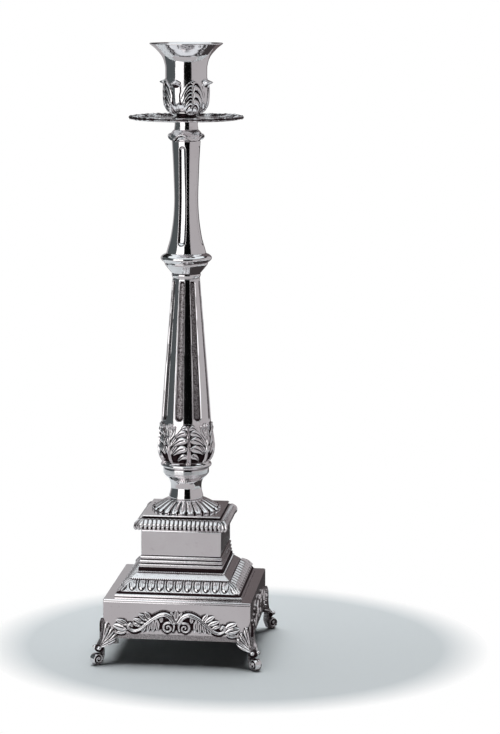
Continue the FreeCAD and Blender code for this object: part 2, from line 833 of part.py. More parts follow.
def upper_shaft():
    """The waisted upper shaft with its narrow flutes.  A counterbore in its top takes the bush."""
    foot, top, hole = size.knop_level, size.upper_level, size.rod_hole_radius
    waist, middle = size.upper_waist_radius, size.upper_waist_level
    bore, end = size.spigot_radius, size.shaft_end
    outline = [
        (hole, foot),
        (size.upper_foot_radius, foot),
        (9.7, foot + 9.8, 10.75, foot + 6.0),
        (waist, middle, 8.05, middle - 12.0),
        (size.upper_head_radius, top, 7.85, middle + 17.0),
        (bore, top),
        (bore, size.spigot_foot_level),
        (hole, size.spigot_foot_level),
        (hole, size.spigot_foot_level - end),
        (waist - 2.4, middle + 8.0),
        (waist - 2.4, middle - 14.0),
        (size.upper_foot_radius - 3.4, foot + end + 3.0),
        (hole, foot + end),
    ]
    body = turned("upper_shaft", outline)
    head = (size.upper_head_radius + 1.2, top - 3.0, size.upper_flute_head_cut)
    low = (size.upper_foot_radius + 0.6, foot + 4.6, size.upper_flute_foot_cut)
    cut_flutes(body, head, low, size.upper_flutes, size.flute_phase)


def collar():
    """The lobed collar under the bush, whose edge rises over each flute."""
    foot, top, wide = size.upper_level, size.collar_level, size.collar_radius
    bore = size.spigot_radius
    outline = [
        (bore, foot),
        (size.upper_head_radius, foot),
        (wide, foot + 2.8, wide - 0.2, foot + 1.0),
        (size.bush_radius + 0.5, top, wide - 0.8, foot + 5.6),
        (bore, top),
    ]
    body = turned("lobed_collar", outline)
    notch_round(body, size.collar_notch, 7.6, foot - 1.6, size.flute_phase, size.upper_flutes)


def bush():
    """The brass bush in the column's top.  The rod screws in from below and the cup's stud from above."""
    top = size.bush_level
    outline = [
        (size.rod_radius, size.spigot_foot_level),
        (size.spigot_radius, size.spigot_foot_level),
        (size.spigot_radius, size.collar_level),
        (size.bush_radius + 0.3, size.collar_level),
        (size.bush_radius, top, size.bush_radius - 0.2, top - 3.0),
        (size.stud_hole_radius, top),
        (size.stud_hole_radius, size.rod_head_level),
        (size.rod_radius, size.rod_head_level),
    ]
    turned("top_bush", outline)


# ------------------------------------------------------------------------------- drip pan and cup


def drip_pan():
    """The loose pan: a thin disc with a raised, scalloped border."""
    foot, wide, thick = size.bush_level, size.pan_radius, size.pan_thick
    rise = size.pan_rise
    outline = [
        (size.stud_hole_radius + 0.2, foot),
        (wide - 10.0, foot),
        (wide, foot + rise, wide - 4.0, foot + 0.1),
        (wide, foot + rise + thick * 0.6),
        (wide - 2.4, foot + rise + thick, wide - 1.0, foot + rise + thick),
        (wide - 10.0, foot + thick, wide - 6.0, foot + thick + 0.2),
        (size.stud_hole_radius + 0.2, foot + thick),
    ]
    body = turned("drip_pan", outline)
    scallop = new_sketch(body, "XY_Plane", "pan_scallop", level=foot - 1.0)
    add_circle(scallop, size.pan_notch, (wide + 1.5, 0.0))
    doc.recompute()
    cuts = feature(body, "Pocket", "pan_notch", Profile=scallop, Reversed=True, Length=6.0)
    polar(body, [cuts], size.pan_lobes, "pan_notches")


def pedestal():
    """The spool that lifts the cup off the pan."""
    foot, top = size.bush_level + size.pan_thick, size.pedestal_level
    hole = size.stud_radius
    outline = [
        (hole, foot),
        (size.pedestal_radius, foot),
        (5.9, foot + 1.7, 6.3, foot + 0.5),
        (7.4, top, 6.2, top - 0.6),
        (hole, top),
    ]
    turned("cup_pedestal", outline)


def calyx():
    """The leaves round the cup: broad ones, with curled tips standing out between them."""
    foot, top, wide = size.pedestal_level, size.calyx_level, size.calyx_radius
    inside = size.cup_radius + 0.05
    outline = [
        (7.8, foot),
        (12.4, foot + 4.0, 10.7, foot + 1.6),
        (wide, foot + 15.0, 13.9, foot + 9.4),
        (wide - 0.2, top),
        (inside, top),
        (inside, foot + 7.6),
        (6.6, foot, 11.3, foot + 2.6),
    ]
    body = turned("leaf_calyx", outline)
    curled = [
        (inside + 0.3, foot + 8.0),
        (wide - 0.1, foot + 8.0),
        (wide + 0.6, foot + 16.4, wide + 0.2, foot + 12.4),
        (size.calyx_tip_radius, top - 1.4, wide + 1.2, foot + 18.0),
        (wide + 0.6, top + 0.6, size.calyx_tip_radius - 0.9, top + 0.4),
        (inside + 0.3, top - 0.4),
    ]
    add_leaves(body, curled, 20.0, size.calyx_phase + 45.0, 4, "curled_leaf")
    notch_round(body, size.calyx_notch, 8.0, top + 0.5, size.calyx_phase + 22.5, size.calyx_leaves)


def cup():
    """The candle cup with its blind socket and its wide flared rim, and the stud fixed in its floor."""
    foot, top, wide = size.pedestal_level, size.total_height, size.cup_radius
    socket, floor, mouth = size.socket_radius, size.socket_floor_level, size.socket_top_level
    stud_top = foot + 2.4
    rim = size.rim_radius
    outline = [
        (0.0, stud_top),
        (size.stud_radius, stud_top),
        (size.stud_radius, foot),
        (6.4, foot),
        (wide, foot + 7.6, 11.05, foot + 2.75),
        (wide, mouth - 0.5),
        (16.1, top - 6.6, 13.75, top - 10.8),
        (rim, top - 0.7, 18.6, top - 3.6),
        (rim - 0.4, top, rim, top - 0.1),
        (15.0, top - 6.0, 18.0, top - 2.6),
        (socket, mouth, 12.5, top - 10.2),
        (socket, floor),
        (0.0, floor),
    ]
    turned("candle_cup", outline)

    outline = [
        (0.0, size.stud_foot_level),
        (size.stud_radius - 0.6, size.stud_foot_level),
        (size.stud_radius, size.stud_foot_level + 0.6),
        (size.stud_radius, stud_top),
        (0.0, stud_top),
    ]
    turned("cup_stud", outline)


# ------------------------------------------------------------------------------- hardware


def hardware():
    """The tie rod that clamps the stack, with its washer and nut under the block."""
    radius, foot, top = size.rod_radius, size.rod_foot_level, size.rod_head_level
    turned("tie_rod", [(0.0, foot), (radius - 0.5, foot), (radius, foot + 0.5), (radius, top), (0.0, top)])

    top = size.block_foot_level
    foot = top - size.washer_thick
    hole = size.rod_hole_radius
    turned("rod_washer", [(hole, foot), (size.washer_radius, foot), (size.washer_radius, top), (hole, top)])

    body = new_body("rod_nut")
    top = foot
    foot = top - size.nut_high
    corners = []
    for corner in range(6):
        angle = math.radians(60.0 * corner)
        corners.append((size.nut_radius * math.cos(angle), size.nut_radius * math.sin(angle)))
    sketch = new_sketch(body, "XY_Plane", "rod_nut_outline", corners, level=foot)
    feature(body, "Pad", "rod_nut_pad", Profile=sketch, Length=size.nut_high)
    drill(body, size.rod_radius, top + 1.0, size.nut_high + 2.0)
    nodes.append(body)


# ------------------------------------------------------------------------------- build, check and write


def check():
    """Stops if any object failed or if any sub-part's shape is empty or not valid."""
    for obj in doc.Objects:
        if "Invalid" in obj.State or "Error" in obj.State:
            raise ValueError(f"{obj.Name} failed: {obj.State}")
    for node in nodes:
        if node.Shape.isNull() or not node.Shape.isValid():
            raise ValueError(f"{node.Label} has no valid shape")
        if node.Shape.Volume <= 0 or not node.Shape.Solids:
            raise ValueError(f"{node.Label} is not solid")


def write():
    """Writes each sub-part to its own STEP file."""
    os.makedirs("parts", exist_ok=True)
    for node in nodes:
        node.Shape.exportStep(os.path.join("parts", node.Label + ".step"))


base_block()
feet()
friezes()
skirt()
plinth()
die()
cap()
seat_plate()
dish()
neck()
bulb()
lower_shaft()
bell()
upper_shaft()
collar()
bush()
drip_pan()
pedestal()
calyx()
cup()
hardware()
doc.recompute()
check()
write()
for node in nodes:
    bounds = node.Shape.BoundBox
    print(f"{node.Label:18s} solids {len(node.Shape.Solids)}  volume {node.Shape.Volume:10.1f}  "
          f"Z {bounds.ZMin:7.2f} to {bounds.ZMax:7.2f}")
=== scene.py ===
"""Silver candlestick: the visible pieces, their materials, the studio and the camera.

Every ornamented piece is a closed grid of points: a profile swept round the column's axis or round a
square, then raised or sunk by a height function in millimetres.  Each point also stores how deep it lies
in the relief and how matt its ground is.  The silver materials use both to blacken the recesses, as oxide,
and to brighten the high parts.  Where the matt is 2 they paint the colour solid black: painted shade in
grooves, slits and hollows, under ledges and between parts, and a painted dark reflection along the upper
flutes' edges.
"""
import math

import bmesh
import bpy
import numpy as np
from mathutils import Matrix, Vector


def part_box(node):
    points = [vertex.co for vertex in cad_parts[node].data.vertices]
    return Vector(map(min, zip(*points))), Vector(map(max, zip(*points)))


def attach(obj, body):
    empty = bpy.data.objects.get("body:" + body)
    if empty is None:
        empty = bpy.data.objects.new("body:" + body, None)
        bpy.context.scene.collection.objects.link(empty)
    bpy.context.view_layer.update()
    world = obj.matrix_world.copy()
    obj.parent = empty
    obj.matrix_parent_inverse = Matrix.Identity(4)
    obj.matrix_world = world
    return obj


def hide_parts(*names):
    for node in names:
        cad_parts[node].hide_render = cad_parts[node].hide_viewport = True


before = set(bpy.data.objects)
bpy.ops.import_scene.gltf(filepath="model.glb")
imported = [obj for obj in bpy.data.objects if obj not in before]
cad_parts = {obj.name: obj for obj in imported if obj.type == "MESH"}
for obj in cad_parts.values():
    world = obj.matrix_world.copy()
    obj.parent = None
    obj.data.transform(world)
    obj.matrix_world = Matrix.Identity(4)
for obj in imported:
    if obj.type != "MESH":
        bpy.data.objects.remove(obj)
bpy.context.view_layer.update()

MM = 0.001
SHARP_ANGLE = math.radians(50.0)  # edges that turn by more than this are shaded sharp

# Angles from the front towards +X, in radians: which way one flute, one broad leaf of the calyx and one broad
# leaf of the bulb face, and where the camera stands.
FLUTE_TURN = math.radians(-9.4)
CALYX_TURN = math.radians(25.6)
BULB_TURN = math.radians(13.0)
CAMERA_TURN = 0.1327

# Special values of the "matt" attribute, which otherwise runs from 0, polished, to 1, matted.
PAINTED_BLACK = 2.0  # painted black all over: painted shade in grooves, slits and hollows, under ledges and between parts, and painted dark reflections
BRIGHT_ONLY = -1.0  # polished, however deep it lies


def foot_of(node):
    """The level of a CAD node's lowest point, in millimetres."""
    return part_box(node)[0].z / MM


def top_of(node):
    """The level of a CAD node's highest point, in millimetres."""
    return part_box(node)[1].z / MM


def reach_of(node):
    """How far a CAD node reaches from the axis along X, in millimetres."""
    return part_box(node)[1].x / MM


def extent(node):
    """A CAD node's lowest level, its highest level and its reach, in millimetres."""
    return foot_of(node), top_of(node), reach_of(node)


# ------------------------------------------------------------------------------- profiles and grids


def unit(value):
    """The value, kept between 0 and 1."""
    return np.clip(value, 0.0, 1.0)


def dome(away):
    """A half circle: 1 at 0, and 0 from 1 outwards."""
    return np.sqrt(unit(1.0 - away**2))


def hump(away, half_width):
    """A smooth hump: 1 at 0, fading over about the half width."""
    return np.exp(-((away / half_width) ** 2))


def step_up(low, high, value):
    """A smooth step: 0 below low, 1 above high."""
    share = unit((value - low) / (high - low))
    return share * share * (3.0 - 2.0 * share)


def from_nearest(value, pitch):
    """How far a value lies from the nearest whole multiple of the pitch."""
    return (value + pitch / 2) % pitch - pitch / 2


def near(turn, centre, count):
    """The angle from the nearest of count places spaced evenly round the axis, one of them at centre."""
    return from_nearest(turn - centre, 2 * math.pi / count)


def quarter_turned(x, y, up, quarter):
    """A grid of points, turned about the axis by a number of quarter turns."""
    cos, sin = (1, 0, -1, 0)[quarter], (0, 1, 0, -1)[quarter]
    return np.stack([x * cos - y * sin, x * sin + y * cos, up], axis=2)


def spline(points, spacing):
    """Evenly spaced points on a smooth curve through the given ones (two give a straight line)."""
    given = np.array(points, float)
    if len(given) == 2:
        count = max(2, int(np.linalg.norm(given[1] - given[0]) / spacing) + 1)
        share = np.linspace(0.0, 1.0, count)[:, None]
        return given[0] + (given[1] - given[0]) * share
    padded = np.vstack([2 * given[0] - given[1], given, 2 * given[-1] - given[-2]])
    fine = []
    for i in range(len(given) - 1):
        before, start, end, after = padded[i : i + 4]
        share = np.linspace(0.0, 1.0, 24, endpoint=False)[:, None]
        rise = (end - before) / 2
        fall = (after - start) / 2
        cube = (2 * share**3 - 3 * share**2 + 1) * start + (share**3 - 2 * share**2 + share) * rise
        fine.append(cube + (3 * share**2 - 2 * share**3) * end + (share**3 - share**2) * fall)
    fine = np.vstack(fine + [given[-1:]])
    return resample(fine, spacing)


def resample(line, spacing):
    """The same line with evenly spaced points."""
    steps = np.linalg.norm(np.diff(line, axis=0), axis=1)
    along = np.concatenate([[0.0], np.cumsum(steps)])
    count = max(2, int(along[-1] / spacing) + 1)
    wanted = np.linspace(0.0, along[-1], count)
    return np.stack([np.interp(wanted, along, line[:, axis]) for axis in range(line.shape[1])], axis=1)


def profile(runs, spacing=0.3, hidden=1.5, rounding=2):
    """A closed outline from its runs of (out, level) points.  Each run starts where the last one ended, and
    corners between runs are slightly rounded.  The last run, back to the start, is hidden and coarse."""
    parts = []
    last = None
    for run in runs:
        points = run if last is None else [last] + run
        parts.append(spline(points, spacing)[(0 if last is None else 1) :])
        last = run[-1]
    line = np.vstack(parts)
    for _ in range(rounding):
        line[1:-1] = (line[:-2] + 2 * line[1:-1] + line[2:]) / 4
    back = spline([tuple(line[-1]), tuple(line[0])], hidden)[1:-1]
    return np.vstack([line, back])


def outward(line):
    """The unit normals of a closed outline that runs anticlockwise, seen with "out" to the right."""
    tangent = np.roll(line, -1, axis=0) - np.roll(line, 1, axis=0)
    normal = np.stack([tangent[:, 1], -tangent[:, 0]], axis=1)
    return normal / np.maximum(np.linalg.norm(normal, axis=1, keepdims=True), 1e-9)


def blurred(grid, reach, axis, wraps):
    """A moving average of a grid over reach points to each side."""
    if reach < 1:
        return grid
    mode = "wrap" if wraps else "edge"
    widths = [(0, 0)] * grid.ndim
    widths[axis] = (reach + 1, reach)
    total = np.cumsum(np.pad(grid, widths, mode=mode), axis=axis)
    size = grid.shape[axis]
    high = np.take(total, np.arange(2 * reach + 1, 2 * reach + 1 + size), axis=axis)
    low = np.take(total, np.arange(0, size), axis=axis)
    return (high - low) / (2 * reach + 1)


def grid_normals(points, wraps):
    """Unit normals of a grid of points."""
    sides = []
    for axis in (0, 1):
        if wraps[axis]:
            sides.append(np.roll(points, -1, axis=axis) - np.roll(points, 1, axis=axis))
        else:
            sides.append(np.gradient(points, axis=axis))
    normal = np.cross(sides[1], sides[0])
    return normal / np.maximum(np.linalg.norm(normal, axis=2, keepdims=True), 1e-9)


def relief_of(points, wraps):
    """How far each point lies below (+) or above (-) its surroundings, in millimetres, over two sizes."""
    normal = grid_normals(points, wraps)
    result = np.zeros(points.shape[:2])
    for size, weight in ((0.7, 1.0), (1.8, 0.6)):
        smooth = points
        for axis in (0, 1):
            step = np.linalg.norm(np.diff(points, axis=axis), axis=2).mean()
            smooth = blurred(smooth, max(1, int(round(size / step))), axis, wraps[axis])
        result += weight * np.einsum("ijk,ijk->ij", smooth - points, normal)
    return result


def placed(name, data):
    """A new object in the scene."""
    obj = bpy.data.objects.new(name, data)
    bpy.context.scene.collection.objects.link(obj)
    return obj


def grid_mesh(name, points, wraps=(True, True), matt=None, merge=False):
    """A mesh from a grid of points in millimetres, with its relief and its matted ground, where a value
    of 2 is painted shade, as attributes.
    """
    rows, columns = points.shape[:2]
    index = np.arange(rows * columns).reshape(rows, columns)
    if wraps[0]:
        index = np.vstack([index, index[:1]])
    if wraps[1]:
        index = np.hstack([index, index[:, :1]])
    quads = np.stack([index[:-1, :-1], index[:-1, 1:], index[1:, 1:], index[1:, :-1]], axis=2).reshape(-1, 4)
    corners = points.reshape(-1, 3)[quads]
    across = np.cross(corners[:, 2] - corners[:, 0], corners[:, 3] - corners[:, 1])
    outwards = np.einsum("ij,ij->", corners.mean(axis=1) - corners.mean(axis=(0, 1)), across) > 0
    relief = relief_of(points, wraps) * (1 if outwards else -1)
    if not outwards:
        quads = quads[:, ::-1]
    mesh = bpy.data.meshes.new(name)
    mesh.vertices.add(rows * columns)
    mesh.vertices.foreach_set("co", (points.reshape(-1, 3) * MM).astype(np.float32).ravel())
    mesh.loops.add(len(quads) * 4)
    mesh.loops.foreach_set("vertex_index", quads.astype(np.int32).ravel())
    mesh.polygons.add(len(quads))
    mesh.polygons.foreach_set("loop_start", np.arange(0, len(quads) * 4, 4, dtype=np.int32))
    mesh.update(calc_edges=True)
    for key, values in (("relief", relief), ("matt", matt)):
        data = np.zeros(rows * columns) if values is None else np.asarray(values, float).ravel()
        mesh.attributes.new(key, "FLOAT", "POINT").data.foreach_set("value", data.astype(np.float32))
    if merge:
        work = bmesh.new()
        work.from_mesh(mesh)
        bmesh.ops.remove_doubles(work, verts=work.verts, dist=1e-6)
        bmesh.ops.recalc_face_normals(work, faces=work.faces)
        work.to_mesh(mesh)
        work.free()
    mesh.polygons.foreach_set("use_smooth", np.ones(len(mesh.polygons), dtype=bool))
    mesh.set_sharp_from_angle(angle=SHARP_ANGLE)
    return placed(name, mesh)


def lathe(name, line, height=None, widen=None, segments=360, matt=None, merge=False):
    """Sweeps a closed (radius, level) outline round the axis.  height, widen and matt are functions of the
    angle (from the front, towards +X), the level and the radius, all grids.  widen moves points straight
    out."""
    angle = np.arange(segments) * 2 * math.pi / segments
    normal = outward(line)
    turn, radius = np.meshgrid(angle, line[:, 0])
    level = np.repeat(line[:, 1:2], segments, axis=1)
    raised = height(turn, level, radius) if height else np.zeros_like(turn)
    out = np.maximum(radius + raised * normal[:, 0:1], 0.0)
    if widen:
        out = out + widen(turn, level, radius)
    up = level + raised * normal[:, 1:2]
    points = np.stack([out * np.sin(turn), -out * np.cos(turn), up], axis=2)
    ground = matt(turn, level, radius) if matt else None
    return grid_mesh(name, points, matt=ground, merge=merge)


def square_sweep(name, line, height=None, per_side=120, corner=0.5, matt=None):
    """Sweeps a closed (half width, level) outline round a square with rounded corners.  height and matt are
    functions of the distance along the side from its middle, the level and the half width, all grids.  The
    points stand closer together in the corners."""
    close = 1.5 * corner / line[:, 0].max()
    arc = np.linspace(0.0, close, 6)
    middle = np.linspace(-1.0 + close, 1.0 - close, per_side)[1:-1]
    share = np.concatenate([-1.0 + arc, middle, (1.0 - arc[::-1])[:-1]])
    normal = outward(line)
    across, half = np.meshgrid(share, line[:, 0])
    level = np.repeat(line[:, 1:2], len(share), axis=1)
    raised = height(across * half, level, half) if height else np.zeros_like(across)
    out = half + raised * normal[:, 0:1]
    up = level + raised * normal[:, 1:2]
    ground = matt(across * half, level, half) if matt else np.zeros_like(across)
    along = across * out
    turned = unit((np.abs(along) - (out - corner)) / corner) * math.pi / 4
    in_corner = turned > 0
    x = np.where(in_corner, np.sign(along) * (out - corner + corner * np.sin(turned)), along)
    y = -np.where(in_corner, out - corner + corner * np.cos(turned), out)
    sides = [quarter_turned(x, y, up, quarter) for quarter in range(4)]
    return grid_mesh(name, np.concatenate(sides, axis=1), matt=np.tile(ground, (1, 4)))


# ------------------------------------------------------------------------------- materials


class Nodes:
    """A new material, and short ways to add nodes to its tree."""

    def __init__(self, name):
        self.material = bpy.data.materials.new(name)
        self.material.use_nodes = True
        self.tree = self.material.node_tree
        self.shader = self.tree.nodes["Principled BSDF"]

    def make(self, kind, **settings):
        """A node of a kind.  Settings that start with in_ are the values of its inputs."""
        node = self.tree.nodes.new(kind)
        for key, value in settings.items():
            if key.startswith("in_"):
                node.inputs[key[3:].replace("_", " ")].default_value = value
            else:
                setattr(node, key, value)
        return node

    def feed(self, socket, value):
        """Gives an input a constant, or links it to an output."""
        if isinstance(value, (int, float, tuple)):
            socket.default_value = value
        else:
            self.tree.links.new(value, socket)

    def set(self, **inputs):
        """Feeds the shader's inputs, with _ for each space in their names."""
        for key, value in inputs.items():
            self.feed(self.shader.inputs[key.replace("_", " ")], value)

    def surface(self, output):
        """Uses another shader than the material's own."""
        self.feed(self.tree.nodes["Material Output"].inputs["Surface"], output)

    def place(self):
        """The object's own coordinates, in metres."""
        return self.make("ShaderNodeTexCoord").outputs["Object"]

    def maths(self, operation, *values):
        """The result of a Math node."""
        node = self.make("ShaderNodeMath", operation=operation)
        for slot, value in enumerate(values):
            self.feed(node.inputs[slot], value)
        return node.outputs[0]

    def spread(self, value, low, high, to_low=0.0, to_high=1.0):
        """A clamped Map Range from low..high to to_low..to_high."""
        ends = {"in_From_Min": low, "in_From_Max": high, "in_To_Min": to_low, "in_To_Max": to_high}
        node = self.make("ShaderNodeMapRange", **ends)
        self.feed(node.inputs["Value"], value)
        return node.outputs["Result"]

    def noise(self, place, scale, detail=3.0, roughness=0.5):
        """Noise with that many cells to the metre."""
        node = self.make("ShaderNodeTexNoise", in_Scale=scale, in_Detail=detail, in_Roughness=roughness)
        self.feed(node.inputs["Vector"], place)
        return node.outputs["Fac"]

    def blend(self, share, first, second):
        """A colour between two colours, each an output or an (r, g, b, 1) tuple."""
        node = self.make("ShaderNodeMix", data_type="RGBA")
        self.feed(node.inputs["Factor"], share)
        self.feed(node.inputs[6], first)
        self.feed(node.inputs[7], second)
        return node.outputs[2]

    def bump(self, height, strength, distance):
        """Gives the shader a bump."""
        node = self.make("ShaderNodeBump", in_Strength=strength, in_Distance=distance)
        self.feed(node.inputs["Height"], height)
        self.set(Normal=node.outputs["Normal"])


def silver(name, tarnish, shine, dark_from, dark_to):
    """Silver plate.  Relief deeper than dark_from..dark_to is blackened and dull, matted ground is dark and
    stippled, a matt of 2 is painted solid black as shade, and the rest is polished, with smudges, faint
    tarnish, soft dents and fine rubbing marks."""
    nodes = Nodes(name)
    place = nodes.place()
    relief = nodes.make("ShaderNodeAttribute", attribute_name="relief").outputs["Fac"]
    matt = nodes.make("ShaderNodeAttribute", attribute_name="matt").outputs["Fac"]
    uneven = nodes.maths("MULTIPLY_ADD", nodes.noise(place, 900.0, 4.0), 0.10, -0.05)
    depth = nodes.maths("ADD", relief, uneven)
    kept = nodes.spread(matt, BRIGHT_ONLY, 0.0)
    sunk = nodes.maths("MULTIPLY", nodes.spread(depth, dark_from, dark_to), kept)
    grain = nodes.noise(place, 1500.0, 2.0, 0.6)
    stipple = nodes.spread(grain, 0.42, 0.60, 1.0, 0.58)
    # Painted shade: where the matt is 2 this passes 1, so the colour is solid black.
    dark = nodes.maths("MAXIMUM", sunk, nodes.maths("MULTIPLY", stipple, matt))
    cloud = nodes.spread(nodes.noise(place, 38.0, 3.0), 0.35, 0.75)
    speck = nodes.spread(nodes.noise(place, 420.0, 5.0, 0.65), 0.60, 0.78, 0.0, tarnish)
    stained = nodes.blend(speck, nodes.blend(cloud, BRIGHT, WARM), STAIN)
    smudge = nodes.spread(nodes.noise(place, 95.0, 4.0, 0.6), 0.3, 0.8, shine, shine + 0.07)
    dull = nodes.maths("MAXIMUM", matt, 0.0)
    rough = nodes.maths("MULTIPLY_ADD", sunk, 0.34, nodes.maths("MULTIPLY_ADD", dull, 0.26, smudge))
    nodes.set(Base_Color=nodes.blend(dark, stained, OXIDE_AND_PAINTED_SHADE), Metallic=1.0, Roughness=rough)
    pits = nodes.maths("MULTIPLY", grain, nodes.maths("MINIMUM", dull, 0.9))
    rubbed = nodes.maths("MULTIPLY", nodes.noise(place, 2600.0, 2.0), 0.04)
    dents = nodes.maths("MULTIPLY", nodes.noise(place, 90.0, 2.0), 0.22)
    nodes.bump(nodes.maths("ADD", nodes.maths("ADD", pits, rubbed), dents), 0.35, 0.0004)
    return nodes.material


def plain_metal(name, colour, worn, rough, scale):
    """Hidden hardware: an uneven, slightly stained metal with a fine bump."""
    nodes = Nodes(name)
    place = nodes.place()
    patch = nodes.spread(nodes.noise(place, scale, 5.0, 0.6), 0.35, 0.7)
    uneven = nodes.spread(patch, 0.0, 1.0, rough, rough + 0.2)
    nodes.set(Base_Color=nodes.blend(patch, colour, worn), Metallic=1.0, Roughness=uneven)
    nodes.bump(nodes.noise(place, scale * 6.0, 3.0), 0.4, 0.0003)
    return nodes.material


WHITE = (1.0, 1.0, 1.0, 1.0)
BRIGHT = (0.90, 0.88, 0.89, 1.0)
WARM = (0.85, 0.815, 0.825, 1.0)
STAIN = (0.36, 0.31, 0.25, 1.0)
# The dark colour of oxide in the recesses and of the stippled matted ground, and of the painted shade where the
# matt is 2.
OXIDE_AND_PAINTED_SHADE = (0.038, 0.022, 0.025, 1.0)
POLISHED = silver("polished_silver", tarnish=0.25, shine=0.06, dark_from=0.05, dark_to=0.15)
CHASED = silver("chased_silver", tarnish=0.45, shine=0.12, dark_from=0.01, dark_to=0.085)
BRASS = plain_metal("brass", (0.72, 0.55, 0.27, 1.0), (0.55, 0.40, 0.18, 1.0), 0.28, 300.0)
STEEL = plain_metal("hardware_steel", (0.52, 0.52, 0.53, 1.0), (0.36, 0.34, 0.32, 1.0), 0.32, 420.0)
SHEET_STEEL = plain_metal("plate_steel", (0.40, 0.40, 0.41, 1.0), (0.26, 0.24, 0.22, 1.0), 0.42, 140.0)
IRON = plain_metal("iron_weight", (0.15, 0.145, 0.14, 1.0), (0.20, 0.12, 0.08, 1.0), 0.62, 90.0)


def finish_piece(obj, material, body, slot, *nodes):
    """Gives a piece its material, ties it to its body and hides its CAD nodes."""
    obj.data.materials.append(material)
    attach(obj, body)
    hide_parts(*nodes)


def swept(sweep, node, runs, spacing, material, rounding=1, body="stick", slot="polished_silver", **shape):
    """The visible piece for one CAD node, its outline swept by lathe or by square_sweep."""
    piece = sweep(node + "_silver", profile(runs, spacing, rounding=rounding), **shape)
    finish_piece(piece, material, body, slot, node)


# ------------------------------------------------------------------------------- base


def block():
    """The smooth square block, with a fine line engraved round it just under its top edge."""
    foot, top, half = extent("base_block")
    inner = half - 3.0
    runs = [
        [(inner, foot), (half - 0.2, foot)],
        [(half, foot + 0.3)],
        [(half, top - 1.55)],
        [(half - 0.22, top - 1.35), (half, top - 1.15)],
        [(half, top - 0.35)],
        [(half - 0.35, top)],
        [(inner - 6.0, top)],
    ]
    swept(square_sweep, "base_block", runs, 0.3, POLISHED, rounding=2, per_side=90, corner=0.7)


def plinth():
    """Three half-round reeds, each a little narrower than the one below."""
    foot, top = foot_of("reeded_plinth"), top_of("reeded_plinth")
    half = reach_of("die") + 0.75
    reeds = 3
    step = (top - foot) / reeds
    groove = 0.86  # the share of a reed's height at which its groove begins
    runs = [[(half - 3.0, foot), (half + 0.2, foot)]]
    for reed in range(reeds):
        wide = half - 0.28 * reed
        low = foot + step * reed
        side = [(wide + 0.35, low + step * 0.22), (wide + 0.4, low + step * 0.72)]
        runs.append(side + [(wide - 0.1, low + step * groove)])
        runs.append([(wide - 0.9, low + step * 0.93), (wide - 0.9, low + step)])
    runs.append([(half - 3.6, top)])

    # Painted shade: the grooves between the reeds and a line under the die are painted solid black.
    def grooves(across, level, wide):
        reed = ((level - foot) / step) % 1.0
        return PAINTED_BLACK * ((reed > groove) | (level > top - 0.35)) * (wide > half - 3.2)

    swept(square_sweep, "reeded_plinth", runs, 0.14, CHASED, per_side=70, corner=0.5, matt=grooves)


def die():
    """The plain square die."""
    foot, top, half = extent("die")
    inner = half - 3.0
    runs = [[(inner, foot), (half - 0.1, foot)], [(half, foot + 0.3)], [(half, top - 0.3)], [(inner, top)]]
    swept(square_sweep, "die", runs, 0.4, POLISHED, rounding=2, per_side=70, corner=0.6)


